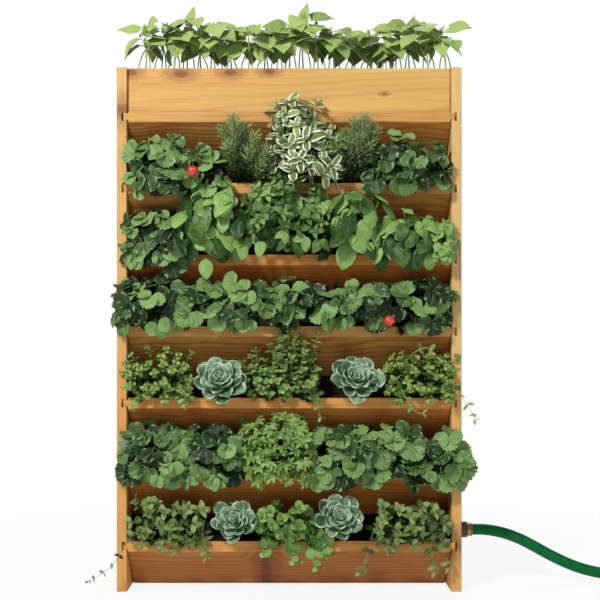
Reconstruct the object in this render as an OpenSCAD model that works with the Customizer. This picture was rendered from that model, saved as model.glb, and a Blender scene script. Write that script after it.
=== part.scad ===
// Vertical garden planter: two cedar side panels joined by slanted slats on sliding
// dovetails, filled with soil, planted on seven tiers and watered through a hose inlet.
// X runs across the planter, Y from its front to its back and Z up. The origin is on the
// floor, midway between the side panels and midway between their front and rear edges.

/* [Frame] */
// Width across the side panels
frame_w = 750; // [700:5:820]
// Depth of the side panels from front to back
frame_d = 229; // [222:1:245]
// Thickness of the side panels
side_t = 22; // [20:0.5:25]
// Height of the side panels above the front edge of the top slat
head_h = 95; // [88:1:120]
// Chamfer along the upright edges of the side panels
side_chamfer = 1.5; // [0.5:0.5:3]

/* [Boards] */
// Height from one slat to the next
tier_pitch = 155.7; // [152:0.1:168]
// Width of a slat along its upper face
slat_w = 139.7; // [134:0.1:142]
// Thickness of the slats and of the other boards between the side panels
board_t = 16.5; // [15:0.5:18]
// Slope of the slats below the horizontal, in degrees
slope = 45; // [43:0.5:47]
// Chamfer along the front edges of the slats and the front board
arris = 1; // [0.5:0.25:2]
// Gap between the end of a slat and the side panel
shoulder_gap = 3; // [1:0.5:4]
// Distance of the front board behind the front edges of the slats
front_recess = 8; // [4:0.5:10]
// Distance of the back boards in front of the panels' rear edges
back_inset = 12; // [8:1:14]
// Chamfer along the outer edges of the back boards
back_chamfer = 2; // [1:0.5:4]
// Gap between one back board and the next
back_gap = 0.4; // [0.3:0.1:0.8]
// Gap between the end of a back board and the side panel
back_shoulder = 0.5; // [0.3:0.1:0.9]
// Height of the lowest slat and back board above the floor
foot_gap = 0.5; // [0.3:0.1:1]

/* [Dovetails] */
// Depth of the grooves in the side panels
groove_d = 11.5; // [10:0.5:13]
// Width of a groove at the face of the side panel
groove_neck = 9.9; // [9:0.1:10.5]
// Width of a groove at its bottom
groove_flare = 14.4; // [13:0.1:14.5]
// Clearance between a tongue and each flank of its groove
flank_gap = 0.3; // [0.2:0.05:0.5]
// Gap between the end face of a tongue and the bottom of its groove
tongue_gap = 4; // [2:0.5:5]
// Length at the lower edge of a slat that has no tongue
tongue_stop = 12; // [10:0.5:16]
// Depth of the housings that hold the floor board
housing_d = 8; // [6:0.5:10]

/* [Soil] */
// Distance of the soil's edge from the front edge of a slat, along its upper face
soil_lip = 14; // [10:1:20]
// Distance of the top soil below the rim of the planter
top_freeboard = 22; // [16:1:24]
// Diameter of the drain holes in the floor board
drain_bore = 8; // [6:1:10]

/* [Watering] */
// Height of the hose inlet above the front edge of the lowest slat
inlet_rise = 6.05; // [1:0.05:8]
// Distance of the hose inlet behind the middle of the side panel
inlet_y = 0; // [0:1:8]
// Diameter of the inlet's shank through the side panel
shank_bore = 25; // [22:0.5:26]
// Outer diameter of the swivel nuts
nut_size = 36; // [34:0.5:38]
// Outer diameter of the hose's male thread
hose_thread = 26.7; // [25.5:0.1:27]
// Outer diameter of the brass collars on the hose
collar_size = 30.5; // [29:0.5:32]
// Outer diameter of the water pipes' main line
riser_size = 20; // [18:0.5:21]
// Outer diameter of the drip lines
drip_size = 16; // [14:0.5:16.5]
// Wall of the water pipes
pipe_wall = 2; // [1.5:0.25:2.5]
// Height of each drip line above the front edge of its slat
drip_rise = 45; // [43:1:48]

/* [Hose] */
// Outer diameter of the hose
hose_size = 25; // [24:0.5:25.5]

/* [Hidden] */

slat_count = 7;
back_count = 6;
seat_gap = 0.1; // between hard pieces that are screwed or pushed together
fit_gap = 0.3; // between boards, soil and pipes that lie against each other
run_gap = 0.08; // radial clearance of a pipe in its socket and of a nut on its tail

yf = -frame_d / 2;
yb = frame_d / 2;
inner_w = frame_w - 2 * side_t;
slat_drop = slat_w * sin(slope) + board_t * cos(slope);
slat_nose = board_t * tan(slope); // how far the bevelled edge runs back under the slat
wide = frame_w + 200; // wider than the planter and everything on it

// Height of the front edge of slat i, counted from 0 at the bottom
function rim_z(i) = foot_gap + slat_drop + i * tier_pitch;
frame_h = rim_z(slat_count - 1) + head_h;
inlet_z = rim_z(0) + inlet_rise;

// Extrudes a (y, z) outline across the planter
module across(len) rotate([90, 0, 90]) linear_extrude(height = len, center = true) children();

// Repeats the children at both ends of the planter
module both_ends() for (side = [0, 1]) mirror([side, 0, 0]) children();

// The frame of slat i: Y runs down its upper face and Z stands square to that face
module on_slat(i) translate([0, yf, rim_z(i)]) rotate([-slope, 0, 0]) children();

// Half the width of a dovetail groove at a given depth in the side panel
function groove_half(depth) =
    (groove_neck + (groove_flare - groove_neck) * depth / groove_d) / 2;

tongue_len = groove_d - tongue_gap;
tongue_root = 1; // how far a tongue's outline reaches into its board

// Cross-section of a tongue that crosses the gap at the end of its board
module tongue_section(gap) {
    neck = groove_half(0) - flank_gap;
    tip = groove_half(tongue_len) - flank_gap;
    polygon([[-gap - tongue_root, -neck], [0, -neck], [tongue_len, -tip],
        [tongue_len, tip], [0, neck], [-gap - tongue_root, neck]]);
}

groove_mouth = 1; // how far a groove's cutter stands out of the panel

module groove_section() {
    polygon([[-groove_mouth, -groove_half(0)], [0, -groove_half(0)],
        [groove_d, -groove_half(groove_d)], [groove_d, groove_half(groove_d)],
        [0, groove_half(0)], [-groove_mouth, groove_half(0)]]);
}

// The conical end that a dovetail cutter leaves where a groove stops
module groove_end() rotate([0, 90, 0]) rotate_extrude() polygon([[0, -groove_mouth],
    [groove_half(0), -groove_mouth], [groove_half(0), 0],
    [groove_half(groove_d), groove_d], [0, groove_d]]);

// Runs a section that lies at the right-hand panel's face down a slat, from one
// distance along it to another
module along_slat(from, to) translate([inner_w / 2, from, -board_t / 2])
    rotate([-90, 0, 0]) linear_extrude(height = to - from) children();

// Runs a section up the right-hand panel's face at the given distance from the front
module up_panel(y, from, to) translate([inner_w / 2, y, from])
    linear_extrude(height = to - from) children();

tongue_end = slat_w - tongue_stop;
groove_lead = 6; // how far the slanted grooves' cutter starts in front of the panel

module slat_groove(i) on_slat(i) {
    along_slat(-groove_lead, tongue_end + fit_gap) groove_section();
    translate([inner_w / 2, tongue_end + fit_gap, -board_t / 2]) groove_end();
}

front_y = yf + front_recess; // front face of the front board
front_back_y = front_y + board_t;
back_y = yb - back_inset - board_t; // front face of the back boards
back_stop = 10; // where the back boards' groove stops above the floor

module front_groove() difference() {
    up_panel(front_y + board_t / 2, rim_z(slat_count - 1) - 2 * board_t, frame_h + 1)
        groove_section();
    on_slat(slat_count - 1) translate([0, 0, -board_t / 2 - wide / 2])
        cube([wide, wide, wide], center = true);
}

module back_groove() up_panel(back_y + board_t / 2, back_stop, frame_h + 1)
    groove_section();

floor_front_y = yf + slat_w * cos(slope) + fit_gap;
floor_back_y = back_y - fit_gap;
floor_top_z = board_t;

module floor_housing() translate([inner_w / 2 - 1, floor_front_y - fit_gap, -1])
    cube([housing_d + 1, floor_back_y - floor_front_y + 2 * fit_gap,
        floor_top_z + fit_gap + 1]);

// The right-hand panel without the hole for the inlet
module side_panel() difference() {
    c = side_chamfer;
    translate([inner_w / 2, 0, 0]) linear_extrude(height = frame_h)
        polygon([[c, yf], [side_t - c, yf], [side_t, yf + c], [side_t, yb - c],
            [side_t - c, yb], [c, yb], [0, yb - c], [0, yf + c]]);
    for (i = [0 : slat_count - 1]) slat_groove(i);
    front_groove();
    back_groove();
    floor_housing();
}

module side_left() color("burlywood") mirror([1, 0, 0]) side_panel();

module side_right() color("burlywood") difference() {
    side_panel();
    at_inlet() translate([0, 0, -1]) cylinder(d = shank_bore + 2 * fit_gap, h = side_t + 2);
}

// Outline of a slat in its own frame, with its upright front edge
module slat_outline() polygon([[arris, 0], [slat_w, 0], [slat_w, -board_t],
    [slat_nose + arris, -board_t],
    [slat_nose - arris * sin(slope), arris * cos(slope) - board_t],
    [arris * sin(slope), -arris * cos(slope)]]);

module slat(i) color("peru") on_slat(i) {
    across(inner_w - 2 * shoulder_gap) slat_outline();
    both_ends() intersection() {
        along_slat(0, tongue_end) tongue_section(shoulder_gap);
        across(wide) slat_outline();
    }
}

// Height of the top slat's upper face at a given distance from the front, with a gap
function top_slat_z(y, gap) =
    rim_z(slat_count - 1) - (y - yf) * tan(slope) + gap / cos(slope);

module front_outline() polygon([[front_y, top_slat_z(front_y, fit_gap)],
    [front_y, frame_h - arris], [front_y + arris, frame_h],
    [front_back_y - arris, frame_h], [front_back_y, frame_h - arris],
    [front_back_y, top_slat_z(front_back_y, fit_gap)]]);

module front_board() color("burlywood") {
    across(inner_w - 2 * shoulder_gap) front_outline();
    both_ends() intersection() {
        up_panel(front_y + board_t / 2, rim_z(slat_count - 1) - 2 * board_t, frame_h)
            tongue_section(shoulder_gap);
        across(wide) front_outline();
    }
}

back_pitch = (frame_h - foot_gap) / back_count;

module back_board(i) color("peru") {
    c = back_chamfer;
    low = foot_gap + i * back_pitch + (i > 0 ? back_gap / 2 : 0);
    high = foot_gap + (i + 1) * back_pitch - (i < back_count - 1 ? back_gap / 2 : 0);
    outer = back_y + board_t;
    across(inner_w - 2 * back_shoulder) polygon([[back_y, low], [outer - c, low],
        [outer, low + c], [outer, high - c], [outer - c, high], [back_y, high]]);
    both_ends() up_panel(back_y + board_t / 2, max(low, back_stop + fit_gap), high)
        tongue_section(back_shoulder);
}

drain_count = 7;

module floor_board() color("sienna") difference() {
    length = inner_w + 2 * (housing_d - fit_gap);
    translate([-length / 2, floor_front_y, 0])
        cube([length, floor_back_y - floor_front_y, board_t]);
    for (k = [1 : drain_count])
        translate([(k / (drain_count + 1) - 0.5) * inner_w,
            (floor_front_y + floor_back_y) / 2, -1])
            cylinder(d = drain_bore, h = floor_top_z + 2);
}

// Lower corner of slat i at its underside, and its point on the soil's edge, as (y, z)
function slat_foot(i) = [yf + slat_w * cos(slope) - board_t * sin(slope),
    rim_z(i) - slat_drop];
function soil_edge(i) = [yf + soil_lip * cos(slope), rim_z(i) - soil_lip * sin(slope)];
soil_top_z = frame_h - top_freeboard;

// Outline of the soil, which climbs from each slat's lip to the foot of the next slat
module soil_outline() polygon(concat(
    [[floor_back_y, floor_top_z + fit_gap], [slat_foot(0)[0], floor_top_z + fit_gap]],
    [for (i = [0 : slat_count - 2]) each [soil_edge(i), slat_foot(i + 1)]],
    [[front_back_y + fit_gap, top_slat_z(front_back_y, -fit_gap)],
        [front_back_y + fit_gap, soil_top_z], [floor_back_y, soil_top_z]]));

module soil() color("#1c1814") difference() {
    across(inner_w - 2 * fit_gap) soil_outline();
    for (i = [0 : slat_count - 1]) on_slat(i) across(wide)
        translate([-fit_gap, -board_t - fit_gap])
            square([slat_w + 2 * fit_gap, board_t + 2 * fit_gap]);
    pipe_tunnels();
}

// Watering line. At the inlet, Z runs outwards and 0 is the panel's inner face.
module at_inlet() translate([inner_w / 2, line_y, inlet_z]) rotate([0, 90, 0])
    children();

// A ring between two radii and two distances along the axis
module ring(r_in, r_out, from, to) translate([0, 0, from]) rotate_extrude()
    polygon([[r_in, 0], [r_out, 0], [r_out, to - from], [r_in, to - from]]);

shank_r = shank_bore / 2;
riser_r = riser_size / 2;
drip_r = drip_size / 2;
nut_r = nut_size / 2;
water_r = riser_r - pipe_wall; // bore of the fittings and the riser
socket_r = riser_r + run_gap;
sleeve_r = socket_r + 3; // outside of the elbow, the tees and the riser's cap
riser_gap = 2; // least distance of the sleeves behind the slats

// The watering line stands at the inlet's place, clear of the slats' rear edges
line_y = max(inlet_y, yf + slat_w * cos(slope) + sleeve_r + riser_gap);

washer_t = 2;
flange_t = 4;
flange_r = shank_r + 7.5;
lip_t = 3;
seal_t = 2.5;
nut_len = 23;
nut_back_t = 6.7; // thickness of the nut's back wall, which turns on the tail
thread_r = hose_thread / 2;
nut_bore_r = thread_r + fit_gap;
relief_r = nut_bore_r + 0.5; // behind the nut's thread, round the lip and the seal
relief_end = nut_back_t + fit_gap + lip_t + seat_gap + seal_t;
lip_r = thread_r - 1;
tail_r = riser_r;

flange_x = side_t + washer_t + 2 * seat_gap;
nut_x = flange_x + flange_t + 0.8; // back of the nut
lip_x = nut_x + nut_back_t + fit_gap;
seal_x = lip_x + lip_t + seat_gap;
coupling_x = seal_x + seal_t + seat_gap;
nut_end_x = nut_x + nut_len;
collar_x = nut_end_x + 0.4;
collar_len = 10;
spigot_len = 13;
locknut_t = 8;
spigot_x = -locknut_t - 2; // where the shank ends inside and its spigot starts

module inlet_fitting() color("#3a3431") at_inlet() rotate_extrude() polygon([
    [water_r, spigot_x - spigot_len], [riser_r, spigot_x - spigot_len],
    [riser_r, spigot_x], [shank_r, spigot_x], [shank_r, flange_x],
    [flange_r, flange_x], [flange_r, flange_x + flange_t], [tail_r, flange_x + flange_t],
    [tail_r, lip_x], [lip_r, lip_x], [lip_r, lip_x + lip_t], [water_r, lip_x + lip_t]]);

module inlet_washer() color("#222222") at_inlet()
    ring(shank_r + seat_gap, flange_r + 2, side_t + seat_gap, side_t + seat_gap + washer_t);

module inlet_locknut() color("#3a3431") at_inlet() difference() {
    translate([0, 0, -locknut_t - seat_gap])
        cylinder(r = shank_r + 8, h = locknut_t, $fn = 6);
    translate([0, 0, -locknut_t - 1]) cylinder(r = shank_r + run_gap, h = locknut_t + 2);
}

module inlet_seal() color("#222222") at_inlet()
    ring(water_r, thread_r, seal_x, seal_x + seal_t);

grip_count = 20;
grip_r = 1.3;
grip_end = 2.5; // plain length at each end of a nut's grip

// A swivel nut with its back wall at 0 and its mouth at nut_len
module swivel_nut() difference() {
    rotate_extrude() polygon([[tail_r + run_gap, 0], [nut_r - 1.5, 0], [nut_r, 1.5],
        [nut_r, nut_len - 1], [nut_r - 1, nut_len], [nut_bore_r, nut_len],
        [nut_bore_r, relief_end], [relief_r, relief_end], [relief_r, nut_back_t],
        [tail_r + run_gap, nut_back_t]]);
    for (k = [0 : grip_count - 1]) rotate([0, 0, k * 360 / grip_count])
        translate([nut_r + grip_r / 3, 0, grip_end])
            cylinder(r = grip_r, h = nut_len - 2 * grip_end);
}

module inlet_nut() color("#2a2626") at_inlet() translate([0, 0, nut_x]) swivel_nut();

collar_r = collar_size / 2;
collar_bead = 0.8; // depth of the rolled grooves round a collar

// A brass collar round the hose's end, grooved where it is rolled on, from 0 to len
module collar_profile(bore, len) polygon([[bore, 0], [collar_r - 0.5, 0],
    [collar_r, 0.5], [collar_r, len * 0.3], [collar_r - collar_bead, len * 0.4],
    [collar_r, len * 0.5], [collar_r, len * 0.65], [collar_r - collar_bead, len * 0.75],
    [collar_r, len * 0.85], [collar_r, len - 0.5], [collar_r - 0.5, len], [bore, len]]);

module hose_coupling() color("#8f8140") at_inlet() {
    ring(water_r, thread_r, coupling_x, collar_x + 1);
    translate([0, 0, collar_x]) rotate_extrude() collar_profile(water_r, collar_len);
}

riser_x = -36; // the riser's axis, from the panel's inner face
riser_in = 13; // depth of the sockets for the riser
elbow_up = 24; // height of the elbow's upper end above the inlet's axis
cap_t = 3;
cap_len = 12;
tee_half = 12;
branch_len = 32; // reach of a tee's branch from the riser's axis
branch_r = drip_r + run_gap + 2;
drip_in = 14; // depth of the sockets for the drip lines
drip_end = 30; // distance of a drip line's end from the left panel

function drip_z(i) = rim_z(i) + drip_rise;
riser_axis = [inner_w / 2 + riser_x, line_y];
riser_top = drip_z(slat_count - 1) + tee_half + cap_len - cap_t;

module at_riser(z) translate([riser_axis[0], riser_axis[1], z]) children();

module inlet_elbow() color("#4a4a4c") difference() {
    union() {
        at_inlet() translate([0, 0, riser_x])
            cylinder(r = sleeve_r, h = spigot_x - riser_x - seat_gap);
        at_riser(inlet_z) sphere(r = sleeve_r);
        at_riser(inlet_z) cylinder(r = sleeve_r, h = elbow_up);
    }
    at_inlet() translate([0, 0, spigot_x - spigot_len - seat_gap])
        cylinder(r = socket_r, h = spigot_len + 1);
    at_inlet() translate([0, 0, riser_x]) cylinder(r = water_r, h = -riser_x);
    at_riser(inlet_z) cylinder(r = water_r, h = elbow_up + 1);
    at_riser(inlet_z + elbow_up - riser_in) cylinder(r = socket_r, h = riser_in + 1);
}

module riser_pipe() color("#4a4a4c") at_riser(0)
    ring(water_r, riser_r, inlet_z + elbow_up - riser_in + seat_gap, riser_top);

// A tee that slides over the riser and takes a drip line on its branch
module riser_tee(z) at_riser(z) difference() {
    union() {
        translate([0, 0, -tee_half]) cylinder(r = sleeve_r, h = 2 * tee_half);
        rotate([0, -90, 0]) cylinder(r = branch_r, h = branch_len);
    }
    translate([0, 0, -tee_half - 1]) cylinder(r = socket_r, h = 2 * tee_half + 2);
    rotate([0, -90, 0]) cylinder(r = drip_r - pipe_wall, h = branch_len);
    translate([-branch_len - 1, 0, 0]) rotate([0, 90, 0])
        cylinder(r = drip_r + run_gap, h = drip_in + 1);
}

module riser_tees() color("#4a4a4c") for (i = [0 : slat_count - 1]) riser_tee(drip_z(i));

drip_from = -inner_w / 2 + drip_end;
drip_to = riser_axis[0] - branch_len + drip_in - seat_gap;

module drip_lines() color("#5b4636") for (i = [0 : slat_count - 1])
    translate([drip_from, line_y, drip_z(i)]) rotate([0, 90, 0])
        ring(drip_r - pipe_wall, drip_r, 0, drip_to - drip_from);

// A cap with its socket open upwards, for a pipe of the given radius
module pipe_cap(pipe_r, out_r) difference() {
    cylinder(r = out_r, h = cap_len);
    translate([0, 0, cap_t]) cylinder(r = pipe_r + run_gap, h = cap_len);
}

module pipe_caps() color("#3a3431") {
    at_riser(riser_top + cap_t + seat_gap) mirror([0, 0, 1]) pipe_cap(riser_r, sleeve_r);
    for (i = [0 : slat_count - 1])
        translate([drip_from - cap_t - seat_gap, line_y, drip_z(i)]) rotate([0, 90, 0])
            pipe_cap(drip_r, branch_r);
}

// The space that the watering line takes out of the soil
module pipe_tunnels() {
    at_inlet() translate([0, 0, spigot_x]) cylinder(r = shank_r + 8 + fit_gap,
        h = 1 - spigot_x);
    at_inlet() translate([0, 0, riser_x]) cylinder(r = sleeve_r + fit_gap, h = -riser_x);
    at_riser(inlet_z) sphere(r = sleeve_r + fit_gap);
    at_riser(inlet_z) cylinder(r = sleeve_r + fit_gap,
        h = riser_top + cap_t + seat_gap + fit_gap - inlet_z);
    for (i = [0 : slat_count - 1])
        translate([drip_from - cap_t - seat_gap - fit_gap, line_y, drip_z(i)])
            rotate([0, 90, 0]) cylinder(r = branch_r + fit_gap,
                h = riser_axis[0] - drip_from);
}

// Hose. Its run is given by points: the distance from the collar along X, and the share
// of the inlet's height that is left. It leaves level, sags and flattens on the floor.
hose_r = hose_size / 2;
hose_floor_z = hose_r + 0.2;
hose_x = frame_w / 2 + collar_x - side_t + collar_len;
hose_route = [[0, 1], [25, 1], [50, 0.97], [80, 0.9], [110, 0.79], [140, 0.645],
    [170, 0.485], [200, 0.34], [230, 0.215], [260, 0.12], [290, 0.055], [320, 0.018],
    [350, 0], [390, 0], [430, 0]];
hose_points = [for (p = hose_route)
    [hose_x + p[0], line_y, hose_floor_z + (inlet_z - hose_floor_z) * p[1]]];

function unit(v) = v / norm(v);
function path_dir(pts, k) = unit(pts[min(k + 1, len(pts) - 1)] - pts[max(k - 1, 0)]);
function path_len(pts) = [for (k = 0, sum = 0; k < len(pts) - 1;
    sum = sum + norm(pts[k + 1] - pts[k]), k = k + 1) sum + norm(pts[k + 1] - pts[k])];

// One closed tube of n sides along a path that is nowhere upright
module tube(pts, r, n) {
    rings = [for (k = [0 : len(pts) - 1])
        let (t = path_dir(pts, k), side = unit(cross(t, [0, 0, 1])), up = cross(side, t))
        for (j = [0 : n - 1])
            pts[k] + r * (cos(j * 360 / n) * side - sin(j * 360 / n) * up)];
    last = (len(pts) - 1) * n;
    sides = [for (k = [0 : len(pts) - 2]) for (j = [0 : n - 1])
        let (a = k * n + j, b = k * n + (j + 1) % n)
        each [[a, b, a + n], [b, b + n, a + n]]];
    ends = [for (j = [1 : n - 2]) each [[0, j + 1, j], [last, last + j, last + j + 1]]];
    polyhedron(points = rings, faces = concat(sides, ends));
}

module hose_run() color("#1d6b3c") tube(hose_points, hose_r, 8);

// The coil spirals in on the floor, climbs a layer in half a turn and spirals out on top.
// It turns clockwise seen from above, and starts at the far side of its centre.
coil_turns = 3;
coil_rings = 24; // rings to a turn
coil_inner = 106; // radius where the spiral turns back
coil_step = hose_size + 1; // distance from one turn to the next
coil_start = hose_points[len(hose_points) - 1];
coil_outer = coil_inner + coil_step * coil_turns / 2;
coil_centre = coil_start + [hose_size, -coil_outer, 0];

function coil_point(turn) =
    let (back = turn - coil_turns / 2, r = coil_inner + coil_step * abs(back),
        climb = (1 + sin(360 * max(-0.25, min(0.25, back)))) / 2, a = 90 - 360 * turn)
    coil_centre + [r * cos(a), r * sin(a), coil_step * climb];

// The tail leaves the top of the coil and comes down beside it
tail_z = nut_r + 0.2;
coil_end = coil_point(coil_turns);
tail_drops = [[30, 1], [60, 0.9], [90, 0.55], [120, 0.15], [145, 0], [170, 0]];
tail_points = [for (p = tail_drops)
    [coil_end[0] + p[0], coil_end[1], tail_z + (coil_end[2] - tail_z) * p[1]]];
coil_points = concat([coil_start],
    [for (k = [0 : coil_turns * coil_rings]) coil_point(k / coil_rings)], tail_points);

coil_gap = min([for (a = [0 : len(coil_points) - 1])
    for (b = [a + coil_rings / 2 : 1 : len(coil_points) - 1])
        norm(coil_points[a] - coil_points[b])]) - hose_size;
run_lengths = path_len(hose_points);
coil_lengths = path_len(coil_points);

module hose_coil() {
    echo(least_gap_in_coil = coil_gap);
    echo(hose_length = run_lengths[len(run_lengths) - 1]
        + coil_lengths[len(coil_lengths) - 1]);
    color("#1d6b3c") tube(coil_points, hose_r, 6);
}

tail_end = tail_points[len(tail_points) - 1];
tail_collar_len = 22;
end_nut_x = tail_collar_len + 0.8;
end_lip_x = end_nut_x + nut_back_t + fit_gap;
end_seal_x = end_lip_x + lip_t + seat_gap;

// At the hose's free end, Z runs on along the hose
module at_tail() translate(tail_end) rotate([0, 90, 0]) children();

module hose_tail_collar() color("#8f8140") at_tail() {
    rotate_extrude() collar_profile(water_r, tail_collar_len);
    rotate_extrude() polygon([[water_r, tail_collar_len - 1], [tail_r, tail_collar_len - 1],
        [tail_r, end_lip_x], [lip_r, end_lip_x], [lip_r, end_lip_x + lip_t],
        [water_r, end_lip_x + lip_t]]);
}

module hose_end_nut() color("#2a2626") at_tail() translate([0, 0, end_nut_x]) swivel_nut();

module hose_end_seal() color("#222222") at_tail()
    ring(water_r, thread_r, end_seal_x, end_seal_x + seal_t);

// Planting. A plant stands at a share of half the inner width, and each tier's plants
// keep to their own cell of space in front of the soil.
leaf_gap = 0.35; // from leaves to wood, to soil and to the next cell
crown_in = 30; // distance of a tier's crowns behind the slats' front edges
reach = 95; // how far leaves may stand out in front
hang = 20; // how far a tier's foliage may hang below its slat's front edge
top_y = 0; // where the seedlings stand in the top tray

function at_x(share) = share * inner_w / 2;
function soil_z(i, y) = soil_edge(i)[1] + (y - soil_edge(i)[0])
    * (slat_foot(i + 1)[1] - soil_edge(i)[1]) / (slat_foot(i + 1)[0] - soil_edge(i)[0]);
function crown(i, share) = [at_x(share), yf + crown_in, soil_z(i, yf + crown_in)];

// Aims the children's X at an azimuth and an elevation
module aim(p, az, el) translate(p) rotate([0, 0, az - 90]) rotate([0, -el, 0]) children();

// Outline, as (y, z), of the space in front of a tier's soil: over its slat's front edge,
// up the soil to the foot of the next slat and out again below that slat
module cell_outline(i, above) {
    g = leaf_gap;
    next_edge = rim_z(i + 1) - board_t / cos(slope);
    polygon([[yf - reach, rim_z(i) - hang], [yf - g, rim_z(i) - hang], [yf - g, rim_z(i) + g],
        soil_edge(i) + [0, 1.5 * g], slat_foot(i + 1) + [-1.6 * g, 0],
        [yf - g, next_edge + g * tan(slope) - g / cos(slope)],
        [yf - g, rim_z(i) + above], [yf - reach, rim_z(i) + above]]);
}

module cell(i, from, to, above) translate([(at_x(from) + at_x(to)) / 2, 0, 0])
    across(at_x(to) - at_x(from) - 2 * leaf_gap) cell_outline(i, above);

module panels_grown() both_ends() translate([inner_w / 2 - leaf_gap, yf - leaf_gap, -1])
    cube([side_t + 2 * leaf_gap, frame_d + 2 * leaf_gap, frame_h + 1 + leaf_gap]);

// Keeps a tier's plants inside their cell, and clear of the side panels where it is wider
module planted(i, from, to, above = tier_pitch - hang) difference() {
    intersection() {
        union() children();
        cell(i, from, to, above);
    }
    if (from < -1 || to > 1) panels_grown();
}

// A closed rounded body of foliage. Its surface stands out in leaf tips, an even number
// to a ring, over hollows that lie deeper by the share jut.
module foliage(c, half, tips, rings, jut, seed) {
    body = [for (k = [1 : rings - 1]) for (j = [0 : tips - 1])
        let (polar = 180 * k / rings, az = 360 * (j + (k % 2) / 2) / tips,
            r = (j % 2 == 0 ? 1 : 1 - jut) * (1 + 0.1 * sin(131 * j + 57 * k + seed)))
        c + [half[0] * r * sin(polar) * cos(az), half[1] * r * sin(polar) * sin(az),
            -half[2] * r * cos(polar)]];
    low = len(body);
    function at(k, j) = (k - 1) * tips + (j + tips) % tips;
    caps = [for (j = [0 : tips - 1]) each [[low, at(1, j), at(1, j + 1)],
        [low + 1, at(rings - 1, j + 1), at(rings - 1, j)]]];
    belts = [for (k = [1 : rings - 2]) for (j = [0 : tips - 1]) each k % 2 == 1
        ? [[at(k, j), at(k + 1, j + 1), at(k, j + 1)],
            [at(k, j), at(k + 1, j), at(k + 1, j + 1)]]
        : [[at(k, j), at(k + 1, j), at(k, j + 1)],
            [at(k, j + 1), at(k + 1, j), at(k + 1, j + 1)]]];
    polyhedron(points = concat(body, [c - [0, 0, half[2] * 0.9], c + [0, 0, half[2]]]),
        faces = concat(caps, belts));
}

// A bush on a tier: half its width, and how far it stands up from the slat's front edge
// and out in front of it
module bush(i, share, w, up, out, tips = 12, rings = 7, jut = 0.3, seed = 0) {
    low = hang + 4;
    back = 34;
    foliage([at_x(share), yf + (back - out) / 2, rim_z(i) + (up - low) / 2],
        [w, (out + back) / 2, (up + low) / 2], tips, rings, jut, seed);
}

// A straight three-sided stalk between two points
module stalk(a, b, r) {
    t = unit(b - a);
    side = unit(cross(t, abs(t[2]) < 0.9 ? [0, 0, 1] : [1, 0, 0]));
    up = cross(side, t);
    hull() polyhedron(points = [for (p = [a, b]) for (j = [0 : 2])
        p + r * (cos(120 * j) * side - sin(120 * j) * up)],
        faces = [[0, 2, 1], [3, 4, 5], [0, 1, 4, 3], [1, 2, 5, 4], [2, 0, 3, 5]]);
}

// A closed leaf along X, broadest near its base, that starts a little behind the origin
module leaf(len, w, t) {
    back = -0.08 * len;
    hull() polyhedron(points = [[back, 0, 0], [0.22 * len, w / 2, 0.05 * len],
        [0.65 * len, 0.36 * w, 0], [len, 0, -0.12 * len], [0.65 * len, -0.36 * w, 0],
        [0.22 * len, -w / 2, 0.05 * len], [0.4 * len, 0, t / 2 + 0.05 * len],
        [0.4 * len, 0, -t / 2]],
        faces = [for (j = [0 : 5]) each [[6, j, (j + 1) % 6], [7, (j + 1) % 6, j]]]);
}

// An upright sprig of narrow leaves, as one closed body with bristling rings
module sprig(c, az, el, len, r) translate(c) rotate([0, 0, az]) rotate([90 - el, 0, 0])
    foliage([0, 0, len / 2], [r, r, len / 2], 6, 6, 0.5, 40 * len);

// A shrub of five sprigs that fan out from a row on the soil
module sprigs(i, share, len) {
    c = crown(i, share);
    stalk(c + [-26, 0, 3], c + [26, 0, 3], 5);
    for (k = [-2 : 2]) sprig(c + [11 * k, 0, 0], 15 * k, 80 - 4 * abs(k), len - 9 * abs(k), 11);
}

// A hanging berry, and the stalk that carries it out over the slat's front edge
module berry(i, share, out) {
    c = crown(i, share);
    tip = [at_x(share), yf - out, rim_z(i) + 14];
    stalk(c, tip, 1.4);
    color("firebrick") translate(tip) hull() {
        translate([0, 0, -8]) sphere(r = 11, $fn = 8);
        translate([0, 0, -20]) sphere(r = 4, $fn = 6);
    }
}

// A rosette of thick leaves that faces forwards and up, on a short stem
module rosette(i, share, r) {
    c = crown(i, share);
    heart = [c[0], yf - 0.36 * r, rim_z(i) + 0.62 * r];
    stalk(c - [0, 0, 4], heart, 8);
    translate(heart) rotate([50, 0, 0]) foliage([0, 0, 0], [r, r, 0.4 * r], 16, 8, 0.34, 0);
}

// A shoot that arches over a slat's front edge and hangs, with leaves in pairs
module shoot(c, az, drop, size) {
    arch = [c[0] + 40 * sin(az), yf - 34, c[2] - 2];
    tip = arch + [0.6 * drop * sin(az), -14, -drop];
    stalk(c, arch, 1.6);
    stalk(arch, tip, 1.6);
    for (m = [0.45, 0.95]) for (side = [-1, 1])
        aim(arch + m * (tip - arch), az + 58 * side, 8) leaf(size, 0.8 * size, 3);
}

module seedling(share, tall, turn) {
    c = [at_x(share), top_y, soil_top_z];
    top = c + [8 * sin(turn), 8 * cos(turn), tall];
    stalk(c, top + [0, 0, 12], 2.4);
    for (k = [0 : 2]) aim(c + (0.74 + 0.13 * k) * (top - c), turn + 125 * k, 24 - 14 * k)
        leaf(60, 52, 4);
}

module seedlings(from, to, count) color("yellowgreen") intersection() {
    for (k = [0 : count - 1]) seedling(from + (to - from) * (k + 0.5) / count,
        120 + 44 * abs(sin(67 * k)), 47 * k + 20);
    translate([at_x(from) + leaf_gap, yf, soil_top_z + leaf_gap])
        cube([at_x(to) - at_x(from) - 2 * leaf_gap, frame_d, 2 * tier_pitch]);
}

module beans_left() seedlings(-1.02, -0.32, 5);
module beans_middle() seedlings(-0.32, 0.34, 5);
module beans_right() seedlings(0.34, 1.04, 5);

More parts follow.
